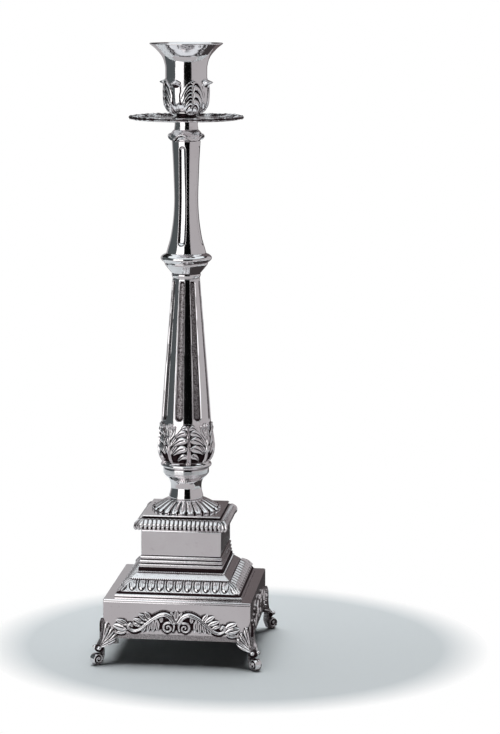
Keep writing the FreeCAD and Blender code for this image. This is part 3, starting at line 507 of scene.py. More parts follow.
def skirt():
    """The skirt: a fillet, a band of eggs and darts, a cove, and a row of tiny beads under the plinth."""
    foot, top, half = extent("skirt")
    base = foot_of("base_block") + 24.8
    egg_low, egg_high = base + 3.6, base + 9.2
    egg_in = half - 1.9
    runs = [
        [(half - 4.0, foot + 0.05), (half - 0.15, base)],
        [(half, base + 0.25)],
        [(half, base + 1.3)],
        [(half - 0.9, base + 1.9)],
        [(egg_in, egg_low)],
        [(egg_in - 3.105, egg_low + 3.472), (half - 8.8, egg_high)],
        [(half - 8.9, egg_high + 0.9)],
        [(half - 12.5, base + 13.0)],
        [(half - 12.6, base + 13.6)],
        [(half - 13.2, base + 13.7)],
        [(half - 13.2, top - 0.1)],
        [(half - 16.0, top)],
    ]
    pitch, egg_half, dart_half = 5.75, 1.95, 0.30
    bead_pitch, bead_half, bead_high, bead_level = 1.2, 0.5, 0.42, 13.35
    corner_leaf = 3.4

    def egg_oval(across, level, taper):
        """The share of the way up the band, the distance along it from an egg's middle, and how far out in
        the egg's oval that is, with 1 at its edge.  Near the band's top the oval no longer narrows."""
        rise = (level - egg_low) / (egg_high - egg_low)
        place = from_nearest(across, pitch)
        wide = egg_half * (1.0 - taper * (rise - 0.5))
        return rise, place, np.sqrt((place / wide) ** 2 + ((np.minimum(rise, 0.74) - 0.62) / 0.50) ** 2)

    def eggs(across, level, wide):
        rise, _, away = egg_oval(across, level, 0.16)
        inside = step_up(-0.02, 0.04, rise) * (1.0 - step_up(0.92, 1.02, rise))
        between = across % pitch - pitch / 2
        egg = 0.45 * unit(1.0 - away**4)
        dart = 0.30 * hump(between, dart_half) * (away > 1.25)
        to_corner = wide - np.abs(across)
        corner = unit(1.0 - to_corner / corner_leaf)
        leaf = 1.1 * np.sqrt(corner) * (0.75 + 0.25 * np.cos(to_corner * 4.2))
        band = np.where(corner > 0.12, leaf, egg + dart)
        bead_rise = (level - base - bead_level) / bead_high
        bead_place = from_nearest(across, bead_pitch) / bead_half
        beads = bead_high * np.sqrt(unit(1.0 - bead_rise**2 - bead_place**2))
        return inside * band + beads

    # Painted shade: solid black under the bottom edge, over the fillet, in a dotted line over the eggs, under
    # the reeds and round each egg.
    def lines(across, level, wide):
        under_edge = (level < base + 0.4) & (wide > half - 1.0)
        over_fillet = (level > base + 1.9) & (level < egg_low - 0.35)
        over_eggs = (level > egg_high + 0.15) & (level < egg_high + 0.75) & (across % 1.3 > 0.65)
        under_reeds = (level > base + 13.9) & (level < top - 0.02) & (wide > half - 14.0)
        rise, place, away = egg_oval(across, level, 0.0)
        outline = (away > 1.0) & (away < 1.24) & (wide - np.abs(across) > 3.2)
        streaks = (away < 0.62) & (np.cos(place * 2 * math.pi + math.pi) > 0.35)
        on_eggs = (rise > 0.0) & (rise < 1.0)
        black = under_edge | over_fillet | over_eggs | under_reeds | (outline & on_eggs)
        plain = np.where(on_eggs, 0.8 * BRIGHT_ONLY, 0.0)
        return np.where(black, PAINTED_BLACK, np.where(streaks & on_eggs, 1.0, plain))

    swept(square_sweep, "skirt", runs, 0.17, CHASED, height=eggs, per_side=460, corner=0.4, matt=lines)


def cap():
    """The gadrooned cap: paired lobes all along a square roll, dark squares between their lower ends, and a
    small leaf over each corner."""
    foot, top, half = foot_of("gadroon_cap"), top_of("seat_plate") - 2.0, reach_of("gadroon_cap")
    low = top_of("die")
    runs = [
        [(half - 6.0, foot), (half - 3.6, low)],
        [(half - 1.6, low + 0.5), (half - 0.35, low + 1.4), (half - 0.1, low + 2.6)],
        [(half - 0.6, low + 4.2), (half - 2.2, low + 5.8), (half - 4.3, top)],
        [(half - 8.0, top)],
    ]
    pitch, corner_leaf = 2.7, 3.2

    def parts(across, level, wide):
        """The share of the way up, the share of the way out from a lobe's middle, and the corner's distance."""
        off = np.abs(from_nearest(across, pitch)) / (pitch / 2)
        return (level - low) / (top - low), off, wide - np.abs(across)

    def lobes(across, level, wide):
        rise, place, to_corner = parts(across, level, wide)
        band = step_up(0.04, 0.12, rise) * (1.0 - step_up(0.88, 0.97, rise))
        lobe = unit(1.0 - place**6)
        step = 0.40 * hump(rise - 0.40, 0.04)
        split = 0.75 * hump(1.0 - place, 0.22) + step
        corner = unit(1.0 - to_corner / corner_leaf)
        leaf = 0.35 + 0.3 * np.cos(unit(to_corner / corner_leaf) * 9.0)
        return band * np.where(corner > 0.02, leaf, 0.62 * lobe - split - 0.30)

    def shadows(across, level, wide):
        rise, place, to_corner = parts(across, level, wide)
        squares = (rise > 0.08) & (rise < 0.36) & (place > 0.52) & (to_corner > corner_leaf)
        return PAINTED_BLACK * (squares | (rise > 0.985))

    shape = {"height": lobes, "per_side": 420, "corner": 0.5, "matt": shadows}
    swept(square_sweep, "gadroon_cap", runs, 0.17, CHASED, **shape)


def seat_plate():
    """The thin square plate on its recessed neck."""
    foot, top, half = extent("seat_plate")
    runs = [
        [(half - 6.0, foot), (half - 1.6, foot + 0.02)],
        [(half - 1.6, top - 1.0)],
        [(half - 0.15, top - 0.95)],
        [(half, top - 0.75)],
        [(half, top - 0.25)],
        [(half - 0.25, top)],
        [(10.0, top)],
    ]

    def shadow(across, level, wide):
        return PAINTED_BLACK * (level < top - 0.88)

    swept(square_sweep, "seat_plate", runs, 0.22, POLISHED, rounding=2, per_side=70, corner=0.5, matt=shadow)


# ------------------------------------------------------------------------------- column


def dish():
    """The dish at the column's foot, ribbed with gadroons whose ends are scalloped."""
    foot, top, wide = extent("ribbed_dish")
    runs = [
        [(8.0, foot), (wide - 1.4, foot)],
        [(wide - 0.5, foot + 0.2), (wide - 0.2, foot + 0.9), (wide - 1.4, foot + 1.9)],
        [(wide - 3.6, foot + 3.1), (wide - 6.4, foot + 4.6), (13.0, top - 0.9), (11.1, top - 0.15)],
        [(10.2, top)],
        [(8.0, top)],
    ]
    count = 24
    start = 11.0  # the radius at which the ribs begin

    def off_rib(turn):
        """How far out from a rib's middle: 1 at its edge."""
        return np.abs(near(turn, 0.0, count)) / (math.pi / count)

    def ribs(turn, level, radius):
        span = step_up(start, 12.6, radius)
        round_end = dome(off_rib(turn))
        rim = step_up(wide - 3.0, wide - 0.6, radius)
        deep = (0.45 + 0.95 * (radius - start) / (wide - start)) * span
        outside = (level > foot + 0.1) | (radius > wide - 1.6)
        return outside * (deep * (round_end - 1.0) - rim * 1.1 * (1.0 - round_end)) * (level < top - 0.05)

    # Painted shade: the grooves between the ribs are painted solid black.
    def grooves(turn, level, radius):
        return PAINTED_BLACK * step_up(0.74, 0.90, off_rib(turn)) * step_up(11.6, 13.0, radius)

    swept(lathe, "ribbed_dish", runs, 0.2, CHASED, height=ribs, segments=720, matt=grooves)


def neck():
    """The waisted neck."""
    foot, top = foot_of("neck"), top_of("neck")
    runs = [
        [(5.0, foot), (10.55, foot + 0.05)],
        [(10.75, foot + 0.5), (10.7, foot + 1.6)],
        [(9.97, foot + 4.3), (9.63, foot + 6.9), (9.9, top - 6.0), (10.9, top - 3.5), (12.7, top - 1.7)],
        [(13.7, top - 0.7)],
        [(13.7, top)],
        [(5.0, top)],
    ]
    swept(lathe, "neck", runs, 0.25, POLISHED, rounding=2)


def ring_band():
    """The plain band and the ring that the bulb sits in."""
    foot, top = foot_of("ring_band"), top_of("ring_band")
    band = 14.3
    ring = [(band + 0.2, foot + 4.1), (15.6, foot + 4.8), (15.95, foot + 5.6), (15.6, foot + 6.5)]
    runs = [
        [(9.0, foot), (band - 0.15, foot)],
        [(band, foot + 0.3)],
        [(band, foot + 3.5)],
        [(band - 0.35, foot + 3.8)],
        ring + [(band + 0.4, foot + 7.2)],
        [(14.0, top)],
        [(9.0, top)],
    ]
    swept(lathe, "ring_band", runs, 0.2, POLISHED, rounding=2)


def lobe_height(across, along, root, tip, half_width, high):
    """A pointed oval lobe from root to tip, rounded across and creased along its middle."""
    root, tip = np.array(root), np.array(tip)
    length = np.linalg.norm(tip - root)
    axis = (tip - root) / length
    forward = ((across - root[0]) * axis[0] + (along - root[1]) * axis[1]) / length
    beside = -(across - root[0]) * axis[1] + (along - root[1]) * axis[0]
    share = unit(forward)
    wide = half_width * np.sqrt(unit(share * 3.2))
    wide = np.maximum(wide * np.sqrt(unit((1.0 - share) * 2.2)), 1e-3)
    inside = (forward > 0.0) & (forward < 1.0) & (np.abs(beside) < wide)
    crown = dome(beside / wide)
    crease = 0.50 * hump(beside, 0.10 * half_width + 0.10) * step_up(0.15, 0.35, share)
    return np.where(inside, high * (crown * (1.0 - 0.22 * share) - crease), 0.0)


def acanthus(across, along, lobes, stem_half, length, high, bend=0.0):
    """A leaf of paired lobes on a ribbed stem, in millimetres from its foot on its middle line.  bend lifts
    the middle of each lobe, so that it arches."""
    height = np.zeros_like(across)
    for root, tip, half_width in lobes:
        share = unit((np.abs(across) - root[0]) / (tip[0] - root[0] + 0.01))
        bent = along - bend * share * (1.0 - share)
        height = np.maximum(height, lobe_height(np.abs(across), bent, root, tip, half_width, high))
    share = unit(along / length)
    wide = stem_half * (1.0 - 0.75 * share)
    inside = (along > -0.5) & (along < length) & (np.abs(across) < wide)
    ribs = 0.72 + 0.28 * np.cos(across / wide * 3 * math.pi)
    return np.maximum(height, np.where(inside, 1.12 * high * ribs, 0.0))


def bulb():
    """The acanthus bulb: four broad lobed leaves, and four behind them whose tips curl out at the top."""
    low, top = top_of("ring_band"), foot_of("fluted_shaft")
    runs = [
        [(9.0, low), (13.6, low)],
        [(14.1, low + 0.8), (15.4, low + 3.2), (16.2, low + 6.4), (16.4, low + 9.2), (16.0, low + 13.5)],
        [(15.3, low + 18.0), (15.0, low + 21.5), (14.9, top - 1.2)],
        [(14.8, top)],
        [(9.0, top)],
    ]
    broad = [
        ((0.7, 4.8), (7.6, 1.4), 1.9),
        ((0.9, 9.8), (10.4, 5.4), 2.5),
        ((0.9, 14.8), (10.6, 10.6), 2.5),
        ((0.9, 19.2), (9.2, 15.8), 2.3),
        ((0.4, 21.9), (6.0, 20.2), 1.7),
    ]
    back = [
        ((0.5, 6.0), (7.0, 14.4), 1.7),
        ((0.5, 11.0), (6.2, 19.6), 1.7),
        ((0.3, 15.0), (3.8, 23.8), 1.6),
        ((0.1, 17.0), (0.9, 25.0), 1.4),
    ]
    radius_out, stem_half, length = 16.6, 1.9, 24.0

    def front_and_rear(turn, along):
        aside = near(turn, BULB_TURN, 4) * radius_out
        front = acanthus(aside, along, broad, stem_half, length, high=1.6, bend=7.0)
        rear = acanthus(near(turn, BULB_TURN + math.pi / 4, 4) * 16.0, along, back, 1.2, 24.5, high=0.85)
        return front, rear

    def leaves(turn, level, radius):
        along = level - low
        face = (along > 0.3) & (radius > 13.2)
        front, rear = front_and_rear(turn, along)
        curl = hump(along - 23.6, 1.5) * (rear > 0.05) * 0.85
        curl_front = hump(along - 20.6, 1.6) * (front > 0.05) * 0.45
        return np.where(face, np.maximum(front + curl_front, rear + curl) - 0.12, 0.0)

    # Painted shade: the low edges of the broad leaves, and the bare ground below 15 mm, are painted solid
    # black.
    def outlines(turn, level, radius):
        along = level - low
        front, rear = front_and_rear(turn, along)
        face = (along > 0.3) & (radius > 13.2)
        bare = np.maximum(front, rear) < 0.2
        stem = np.abs(near(turn, BULB_TURN, 4)) * radius_out < stem_half * (1.0 - 0.75 * along / length)
        black = ((front > 0.0) & (front < 0.85) & ~stem) | (bare & (along < 15.0))
        return np.where(face & black, PAINTED_BLACK, np.where(face & (bare | stem), BRIGHT_ONLY, 0.0))

    shape = {"height": leaves, "segments": 760, "matt": outlines}
    swept(lathe, "acanthus_bulb", runs, 0.21, CHASED, slot="cast_silver", **shape)


def shaft_radius(level):
    """The lower shaft's radius at a level."""
    levels = [146.0, 150.7, 160.9, 176.0, 186.0, 201.3, 213.0, 226.3, 235.7]
    radii = [15.5, 15.26, 14.5, 13.36, 12.5, 11.27, 10.3, 9.18, 8.5]
    return np.interp(level, levels, radii)


def flute_depth(turn, level, radius, count, low, high, foot_half, head_half):
    """How far inside a round-ended flute each point is: 1 on its middle line and 0 at its edge."""
    across = near(turn, FLUTE_TURN, count) * radius
    share = unit((level - low) / (high - low))
    half = foot_half + (head_half - foot_half) * share
    middle = np.clip(level, low + foot_half, high - head_half)
    away = np.sqrt(across**2 + (level - middle) ** 2) / half
    return unit(1.0 - away)


def lower_shaft():
    """The tapered shaft and its eight matted flutes between polished ribs."""
    low, top = foot_of("fluted_shaft"), top_of("fluted_shaft")
    side = [(float(shaft_radius(z)), z) for z in np.linspace(low + 0.3, top - 0.3, 12)]
    runs = [[(9.0, low), (15.4, low)], side, [(8.3, top)], [(5.0, top)]]

    def inside(turn, level, radius):
        return flute_depth(turn, level, radius, 8, low + 1.2, top - 1.2, 2.9, 1.85) * (radius > 7.5)

    def flutes(turn, level, radius):
        depth = inside(turn, level, radius)
        hollow = -0.95 * dome(1.0 - depth) * step_up(0.0, 0.12, depth)
        return hollow + 0.10 * hump(depth - 0.02, 0.05) * (depth > 0)

    def ground(turn, level, radius):
        return 0.96 * step_up(0.10, 0.20, inside(turn, level, radius))

    swept(lathe, "fluted_shaft", runs, 0.5, POLISHED, height=flutes, segments=800, matt=ground)


def bell():
    """The flared capital with its bead, and the knop ring over it."""
    low, high = top_of("fluted_shaft"), 245.4
    runs = [
        [(6.0, low), (8.45, low)],
        [(8.75, low + 0.9), (9.1, low + 1.9), (8.75, low + 2.8)],
        [(9.2, low + 3.3), (10.2, low + 4.5), (11.2, low + 5.7), (12.25, low + 7.0), (13.2, low + 8.2)],
        [(13.55, high - 0.2)],
        [(13.0, high)],
        [(6.0, high)],
    ]
    swept(lathe, "bell_capital", runs, 0.2, POLISHED, rounding=2)

    low, high = high, top_of("knop_ring")
    runs = [
        [(6.0, low), (13.7, low)],
        [(14.4, low + 0.6), (15.5, low + 1.6), (15.9, low + 2.7), (15.4, low + 3.9), (14.2, low + 4.8)],
        [(13.0, low + 5.3)],
        [(12.4, high)],
        [(6.0, high)],
    ]
    swept(lathe, "knop_ring", runs, 0.2, POLISHED, rounding=2)


def upper_shaft():
    """The waisted upper shaft and its four narrow polished flutes."""
    low, top = top_of("knop_ring"), foot_of("lobed_collar")
    side = [(12.3, low + 0.2), (11.7, 253.8), (10.6, 257.5), (9.7, 261.0), (8.5, 268.6), (7.76, 276.0)]
    side += [(7.42, 285.0), (7.76, 298.0), (8.2, 309.0), (8.85, top - 0.2)]
    runs = [[(6.0, low), (12.2, low)], side, [(8.6, top)], [(5.2, top)]]
    flute_low, flute_high = 256.0, 317.4

    def inside(turn, level, radius):
        return flute_depth(turn, level, radius, 4, flute_low, flute_high, 2.7, 2.3) * (radius > 6.9)

    def flutes(turn, level, radius):
        depth = inside(turn, level, radius)
        return -0.95 * (1.0 - (1.0 - depth) ** 2)

    # Painted dark reflection: a black line is painted just inside each flute's edge, and the rest is kept
    # polished.
    def edges(turn, level, radius):
        depth = inside(turn, level, radius)
        line = step_up(0.04, 0.06, depth) * (1.0 - step_up(0.26, 0.28, depth))
        return BRIGHT_ONLY + (PAINTED_BLACK - BRIGHT_ONLY) * line

    swept(lathe, "upper_shaft", runs, 0.3, POLISHED, height=flutes, segments=800, matt=edges)


def collar():
    """The lobed collar, whose edge rises over each flute, and the plain neck above it."""
    low, top = 320.4, 327.1
    side = [(8.95, low + 0.8), (9.7, low + 1.7), (10.2, low + 2.6), (9.9, low + 3.8), (8.8, low + 5.4)]
    runs = [[(5.4, low), (8.75, low)], side + [(7.9, top - 0.3)], [(7.6, top)], [(5.4, top)]]

    def edge_level(turn):
        """The level of the lobed lower edge, highest over each flute."""
        return low + 2.1 + 1.5 * np.cos(4 * (turn - FLUTE_TURN))

    def lobes(turn, level, radius):
        edge = edge_level(turn)
        lip = 1.1 * hump(level - edge, 0.7) - 0.5 * step_up(0.1, 0.5, edge - level)
        return np.where((radius > 7.5) & (level > low + 0.05), lip, 0.0)

    # Painted shade: a solid black line under the lobed edge.
    def line_under(turn, level, radius):
        under = edge_level(turn) - level
        return np.where((under > 0.45) & (under < 1.2), PAINTED_BLACK, BRIGHT_ONLY)

    swept(lathe, "lobed_collar", runs, 0.16, CHASED, height=lobes, segments=540, matt=line_under)

    foot, top, shoulder = foot_of("top_bush"), foot_of("drip_pan"), 327.15
    runs = [
        [(3.1, foot), (4.8, foot)],
        [(4.95, foot + 0.2)],
        [(4.95, shoulder)],
        [(7.45, shoulder)],
        [(7.4, 327.7), (7.1, 330.0), (7.15, top - 0.9)],
        [(7.0, top)],
        [(3.1, top)],
    ]
    swept(lathe, "top_bush", runs, 0.25, POLISHED, rounding=2)


# ------------------------------------------------------------------------------- drip pan and cup


def drip_pan():
    """The pan: a polished middle, and a scalloped border chased with shells and scrolls."""
    foot, wide = 332.9, reach_of("drip_pan")
    inner = 27.0  # the radius at which the border begins
    runs = [
        [(3.4, foot), (25.8, foot)],
        [(30.0, foot + 0.15), (33.5, foot + 0.7), (wide - 0.35, foot + 1.5)],
        [(wide - 0.1, foot + 1.9)],
        [(wide - 0.7, foot + 2.35), (wide - 3.0, foot + 2.2), (30.0, foot + 1.5), (inner, foot + 1.25)],
        [(8.6, foot + 1.2)],
        [(3.4, foot + 1.2)],
    ]
    lobes = 20

    def off_lobe(turn):
        """How far round from a scallop's middle: 1 or -1 at its ends."""
        return near(turn, 0.0, lobes) / (math.pi / lobes)

    def relief(turn, level, radius):
        upper = level > foot + 1.0
        share = (radius - inner) / (wide - inner)
        away = off_lobe(turn)
        shell_turn = near(turn, math.pi / 4, 4) * 31.5
        fan = np.arctan2(shell_turn, radius - inner + 3.0)
        fan_in = (np.abs(fan) < 0.85) & (share > 0.08) & (share < 0.95)
        shell = 0.55 * np.abs(np.cos(fan * 9.0)) * unit(1.0 - (fan / 0.95) ** 2)
        ring = np.sqrt(((away * math.pi / lobes) * radius) ** 2 + (radius - inner - 4.6) ** 2)
        curl = 0.55 * (0.5 + 0.5 * np.cos(ring * 3.0 - 2.0 * away)) * (ring < 3.6)
        bead = 0.30 * hump(radius - inner - 0.6, 0.45) * (0.5 + 0.5 * np.cos(lobes * 6 * turn))
        rim = 0.35 * hump(radius - (wide - 1.0), 0.6)
        pattern = np.where(fan_in, shell, curl) * step_up(0.04, 0.12, share) + bead + rim - 0.18
        return np.where(upper & (share > -0.05), pattern, 0.0)

    def scallops(turn, level, radius):
        round_end = dome(off_lobe(turn))
        return -0.95 * step_up(inner, wide, radius) ** 3 * (1.0 - round_end)

    # Painted shade: the hollows between the shells, scrolls and beads are painted solid black.
    def ground(turn, level, radius):
        share = step_up(inner, wide, radius)
        raised = relief(turn, level, radius)
        hollows = PAINTED_BLACK * (1.0 - step_up(-0.12, 0.08, raised)) * (share > 0.02) * (level > foot + 1.0)
        return np.maximum(hollows, 0.9 * (share > 0.97) * (off_lobe(turn) > 0.55))

    shape = {"height": relief, "widen": scallops, "segments": 720, "matt": ground}
    swept(lathe, "drip_pan", runs, 0.24, CHASED, body="pan", **shape)


def pedestal():
    """The spool under the cup."""
    foot, top = 334.1, 337.4
    runs = [
        [(3.0, foot), (8.9, foot)],
        [(9.0, foot + 0.25)],
        [(7.0, foot + 0.7), (5.9, foot + 1.6), (6.3, top - 0.6), (7.4, top)],
        [(3.0, top)],
    ]
    swept(lathe, "cup_pedestal", runs, 0.2, POLISHED, rounding=2, body="cup")


def calyx():
    """The leaves round the cup: four broad veined ones, and four smooth ones whose tips curl out."""
    low, bore = 337.4, 12.6
    side = [(8.2, low + 0.15), (9.8, low + 1.3), (11.0, low + 2.6), (12.1, low + 4.6), (12.7, low + 7.2)]
    side += [(12.95, low + 12.0), (13.0, low + 18.0), (13.05, low + 21.2)]
    runs = [[(6.0, low), (8.0, low)], side, [(bore, low + 21.4)], [(bore, low + 6.0)], [(6.0, low + 1.2)]]
    wall, length = 12.9, 20.2  # the radius that the broad leaves are measured at, and their length
    shares = [0.0, 0.15, 0.35, 0.55, 0.75, 0.9, 1.0]
    halves = [math.radians(turn) for turn in (15.0, 24.0, 32.0, 34.5, 28.0, 15.0, 0.5)]

    def slits(aside, along):
        arched = along - 2.6 * np.sqrt(aside * (1.0 + 0.02 * along)) + 0.62 * aside**1.6 - 0.9
        drop = arched % 4.1 - 2.05
        thick = 0.40 + 0.48 * np.sin(unit(aside / 4.8) * math.pi)
        return hump(drop, thick) * step_up(0.25, 0.7, aside)

    def broad_leaf(turn, along):
        share = unit(along / length)
        half = np.interp(share, shares, halves)
        across = near(turn, CALYX_TURN, 4)
        aside = np.abs(across) * wall
        edge = (half - np.abs(across)) * wall
        crown = 0.95 + 0.55 * np.sqrt(unit(edge / 2.2))
        slit = slits(aside, along) * step_up(0.4, 1.3, edge)
        stem = hump(aside, 0.34) * step_up(0.0, 2.0, along) * (1.0 - step_up(15.0, 18.0, along))
        inside = (edge > 0.0) & (along < length)
        return np.where(inside, crown - 0.75 * slit - 0.5 * stem, -0.45)

    def leaves(turn, level, radius):
        along = level - low
        leaf = broad_leaf(turn, along)
        slim_turn = near(turn, CALYX_TURN + math.pi / 4, 4) * 13.2
        slim_half = np.interp(along, [3.0, 7.0, 12.0, 17.0, 19.0, 20.4], [0.6, 2.3, 3.0, 3.3, 2.9, 0.2])
        crown = dome(slim_turn / slim_half)
        curl = 4.2 * hump(along - 18.7, 1.35)
        curl = curl * dome(slim_turn / 2.9)
        in_slim = (np.abs(slim_turn) < slim_half) & (along > 3.0) & (along < 20.4)
        raised = np.where(in_slim, np.maximum(leaf, 0.25 + 0.55 * crown + curl), leaf)
        return np.where((radius > 7.9) & (along > 0.1), raised, 0.0)

    # Painted shade: the slits in the broad leaves are painted solid black.
    def ground(turn, level, radius):
        along = level - low
        aside = np.abs(near(turn, CALYX_TURN, 4)) * wall
        slit = slits(aside, along) * (aside < 6.4) * (along < 18.5) * (radius > 12.7)
        open_wall = (leaves(turn, level, radius) < 0.0) & (along > 9.0)
        return np.where(slit > 0.45, PAINTED_BLACK, np.where(open_wall, BRIGHT_ONLY, 0.0))

    shape = {"height": leaves, "segments": 720, "matt": ground}
    swept(lathe, "leaf_calyx", runs, 0.2, CHASED, body="cup", slot="cast_silver", **shape)


def cup():
    """The candle cup: a straight socket, opening to a wide flared rim."""
    low, flare, top, rim = 337.4, 364.5, top_of("candle_cup"), 22.5
    floor_level = 341.0
    outside = [(13.0, 366.0), (13.75, 369.2), (14.8, 371.6), (16.1, 373.4), (17.7, 375.2), (19.5, 377.0)]
    runs = [
        [(0.0, low), (6.4, low)],
        [(9.4, low + 1.6), (11.4, low + 3.5), (12.4, low + 5.6), (12.85, low + 8.0)],
        [(12.85, flare)],
        outside + [(rim, top - 0.75)],
        [(rim, top - 0.3), (rim - 0.35, top)],
        [(19.4, 378.2), (17.2, 376.2), (15.3, 373.9), (13.6, 371.0), (12.2, 367.8), (11.35, flare)],
        [(11.25, 341.6)],
        [(10.6, floor_level)],
        [(0.0, floor_level)],
    ]
    swept(lathe, "candle_cup", runs, 0.3, POLISHED, rounding=2, body="cup", merge=True)


# ------------------------------------------------------------------------------- feet


def diagonal_place(points, quarter):
    """Turns points from a foot's own frame, with +X along the block's diagonal, to one of the corners."""
    angle = -math.pi / 4 + quarter * math.pi / 2
    x = points[..., 0] * math.cos(angle) - points[..., 1] * math.sin(angle)
    y = points[..., 0] * math.sin(angle) + points[..., 1] * math.cos(angle)
    return np.stack([x, y, points[..., 2]], axis=-1)


def ribbon(line, thick, wide, around=20):
    """A grid for a strap that follows a line in the foot's upright plane.  thick is its half thickness in
    that plane and wide is its half width across it, both along the line.  Its ends close to points."""
    tangent = np.gradient(line, axis=0)
    tangent /= np.linalg.norm(tangent, axis=1, keepdims=True)
    normal = np.stack([-tangent[:, 1], tangent[:, 0]], axis=1)
    angle = np.arange(around) * 2 * math.pi / around
    cos, sin = np.cos(angle), np.sin(angle)
    box_cos = np.sign(cos) * np.abs(cos) ** 0.6
    box_sin = np.sign(sin) * np.abs(sin) ** 0.6
    rows = []
    for (out, up), (n_out, n_up), half_thick, half_wide in zip(line, normal, thick, wide):
        off = box_cos * half_thick
        rows.append(np.stack([out + n_out * off, box_sin * half_wide, up + n_up * off], axis=1))
    ends = [np.repeat(row.mean(axis=0)[None], around, axis=0) for row in (rows[0], rows[-1])]
    return np.stack([ends[0]] + rows + [ends[1]])


def ball(centre, radii, rows=14, around=24):
    """A grid for an oval ball."""
    tilt = np.linspace(-math.pi / 2, math.pi / 2, rows)[:, None]
    angle = (np.arange(around) * 2 * math.pi / around)[None]
    x = centre[0] + radii[0] * np.cos(tilt) * np.cos(angle)
    y = centre[1] + radii[1] * np.cos(tilt) * np.sin(angle)
    z = centre[2] + radii[2] * np.sin(tilt) * np.ones_like(angle)
    return np.stack([x, y, z], axis=2)


def knee_leaf(corner, under, ankle):
    """The leaf that wraps the block's corner, a fan of narrow lobes spread from the ankle: a grid of points,
    and its matt values."""
    fan = np.radians(np.linspace(-76.0, 76.0, 191))[None, :]
    share = np.linspace(0.0, 1.0, 60)[:, None]
    aside = np.degrees(np.abs(fan))
    pitch = 17.0
    off = from_nearest(aside, pitch) / (pitch / 2)
    lobe = dome(off)
    reach = np.interp(aside, [0.0, 20.0, 40.0, 60.0, 76.0], [18.8, 15.6, 13.6, 12.2, 8.6])
    away = reach * (0.80 + 0.20 * lobe) * (0.06 + 0.94 * share)
    along = away * np.sin(np.abs(fan))
    level = ankle + away * np.cos(fan)
    below = unit((under - level) / (under - ankle))
    face = corner + 1.0 + 3.6 * below**1.5
    flat = np.sqrt(along**2 + 1.2**2) - 1.2
    out = face - flat * 0.7071 * (1.0 - 0.35 * below)
    across = np.sign(fan) * (0.7 * along + 0.3 * flat) * 0.7071
    tip = np.sqrt(unit((1.0 - share) * 5.0))
    vein = hump(off, 0.22) * step_up(0.35, 0.6, share)
    raised = (0.15 + 1.15 * lobe * tip - 0.30 * vein * tip) * step_up(0.0, 0.25, share)
    front = np.stack([out + raised * 0.7071, across + np.sign(fan) * raised * 0.7, level], axis=2)
    back = np.stack([out - 1.1, across * 0.97, level], axis=2)
    # Painted shade: the grooves between the lobes and along the veins are painted solid black.
    grooves = np.maximum(step_up(0.72, 0.90, np.abs(off)), step_up(0.5, 0.8, vein))
    grooves = PAINTED_BLACK * grooves * step_up(0.2, 0.4, share)
    middle = 0.9 * (1.0 - step_up(5.0, 8.0, aside)) * (np.abs(off) < 0.7)
    matt = np.maximum(grooves, middle)
    return np.concatenate([front, back[::-1]], axis=0), np.concatenate([matt, matt[::-1]], axis=0)


def foot(node, quarter):
    """One scroll foot: the knee leaf, the S-shaped leg, the volute it stands on, and two ankle curls."""
    under = foot_of("base_block")
    corner = reach_of("base_block") * math.sqrt(2)
    reach, curl = 69.6, 4.2
    turn = np.linspace(0.0, 1.0, 60)
    angle = -0.25 * math.pi + 3.1 * math.pi * turn
    size = (curl - 0.75) * (1.0 - 0.76 * turn)
    scroll = np.stack([reach + size * np.cos(angle), curl + size * np.sin(angle)], axis=1)
    bends = [(corner - 5.5, under - 1.2), (corner + 1.4, 13.0), (corner + 1.2, 9.0), (reach - 3.9, 5.6)]
    leg = spline(bends + [(reach - 2.6, 2.0)], 0.4)
    curve = np.vstack([leg, spline([tuple(leg[-1]), (reach - 0.6, 0.98), (reach + 1.9, 1.5)], 0.4)[1:]])
    shape = np.linspace(0.0, 1.0, len(curve))
    leg_grid = ribbon(curve, 2.4 - 1.55 * unit(shape * 1.5), 2.7 - 0.5 * shape)
    bright = [
        ribbon(scroll, 0.40 - 0.05 * turn, 2.3 + 0.7 * turn),
        ball((reach, 0.0, curl), (0.8, 3.2, 0.8)),
        ball((reach - 0.2, 2.3, 11.0), (1.5, 1.5, 1.3)),
        ball((reach - 0.2, -2.3, 11.0), (1.5, 1.5, 1.3)),
    ]
    # Painted shade: two balls painted solid black stand for the shade inside the volute and behind the ankle
    # curls.
    dark = [ball((reach, 0.0, curl), (3.5, 2.0, 3.5)), ball((reach - 1.9, 0.0, 10.3), (2.7, 3.3, 2.5))]
    parts = []
    for grid in bright:
        parts.append(grid_mesh(node, diagonal_place(grid, quarter), wraps=(False, True), merge=True))
    for grid, shade in ((leg_grid, 0.95), (dark[0], PAINTED_BLACK), (dark[1], PAINTED_BLACK)):
        matt = np.full(grid.shape[:2], shade)
        parts.append(grid_mesh(node, diagonal_place(grid, quarter), (False, True), matt, merge=True))
    leaf, matt = knee_leaf(corner, under, 10.4)
    parts.append(grid_mesh(node, diagonal_place(leaf, quarter), (True, False), matt, merge=True))
    piece = joined(parts, node + "_silver")
    finish_piece(piece, CHASED, "stick", "cast_silver", node)


def joined(parts, name):
    """One object from several, their meshes side by side."""
    work = bmesh.new()
    for part in parts:
        work.from_mesh(part.data)
    mesh = bpy.data.meshes.new(name)
    work.to_mesh(mesh)
    work.free()
    for part in parts:
        old = part.data
        bpy.data.objects.remove(part)
        bpy.data.meshes.remove(old)
    return placed(name, mesh)


# ------------------------------------------------------------------------------- friezes


def stroke_field(across, up, path, half_width):
    """How high a rounded stroke along a smooth path stands at each point: 1 on its middle, 0 at its edge."""
    line = spline(path, 0.35)
    best = np.full(across.shape, 9.0)
    for i in range(len(line)):
        share = i / (len(line) - 1)
        half = half_width[0] + (half_width[1] - half_width[0]) * share
        away = np.sqrt((across - line[i, 0]) ** 2 + (up - line[i, 1]) ** 2) / half
        best = np.minimum(best, away)
    return best


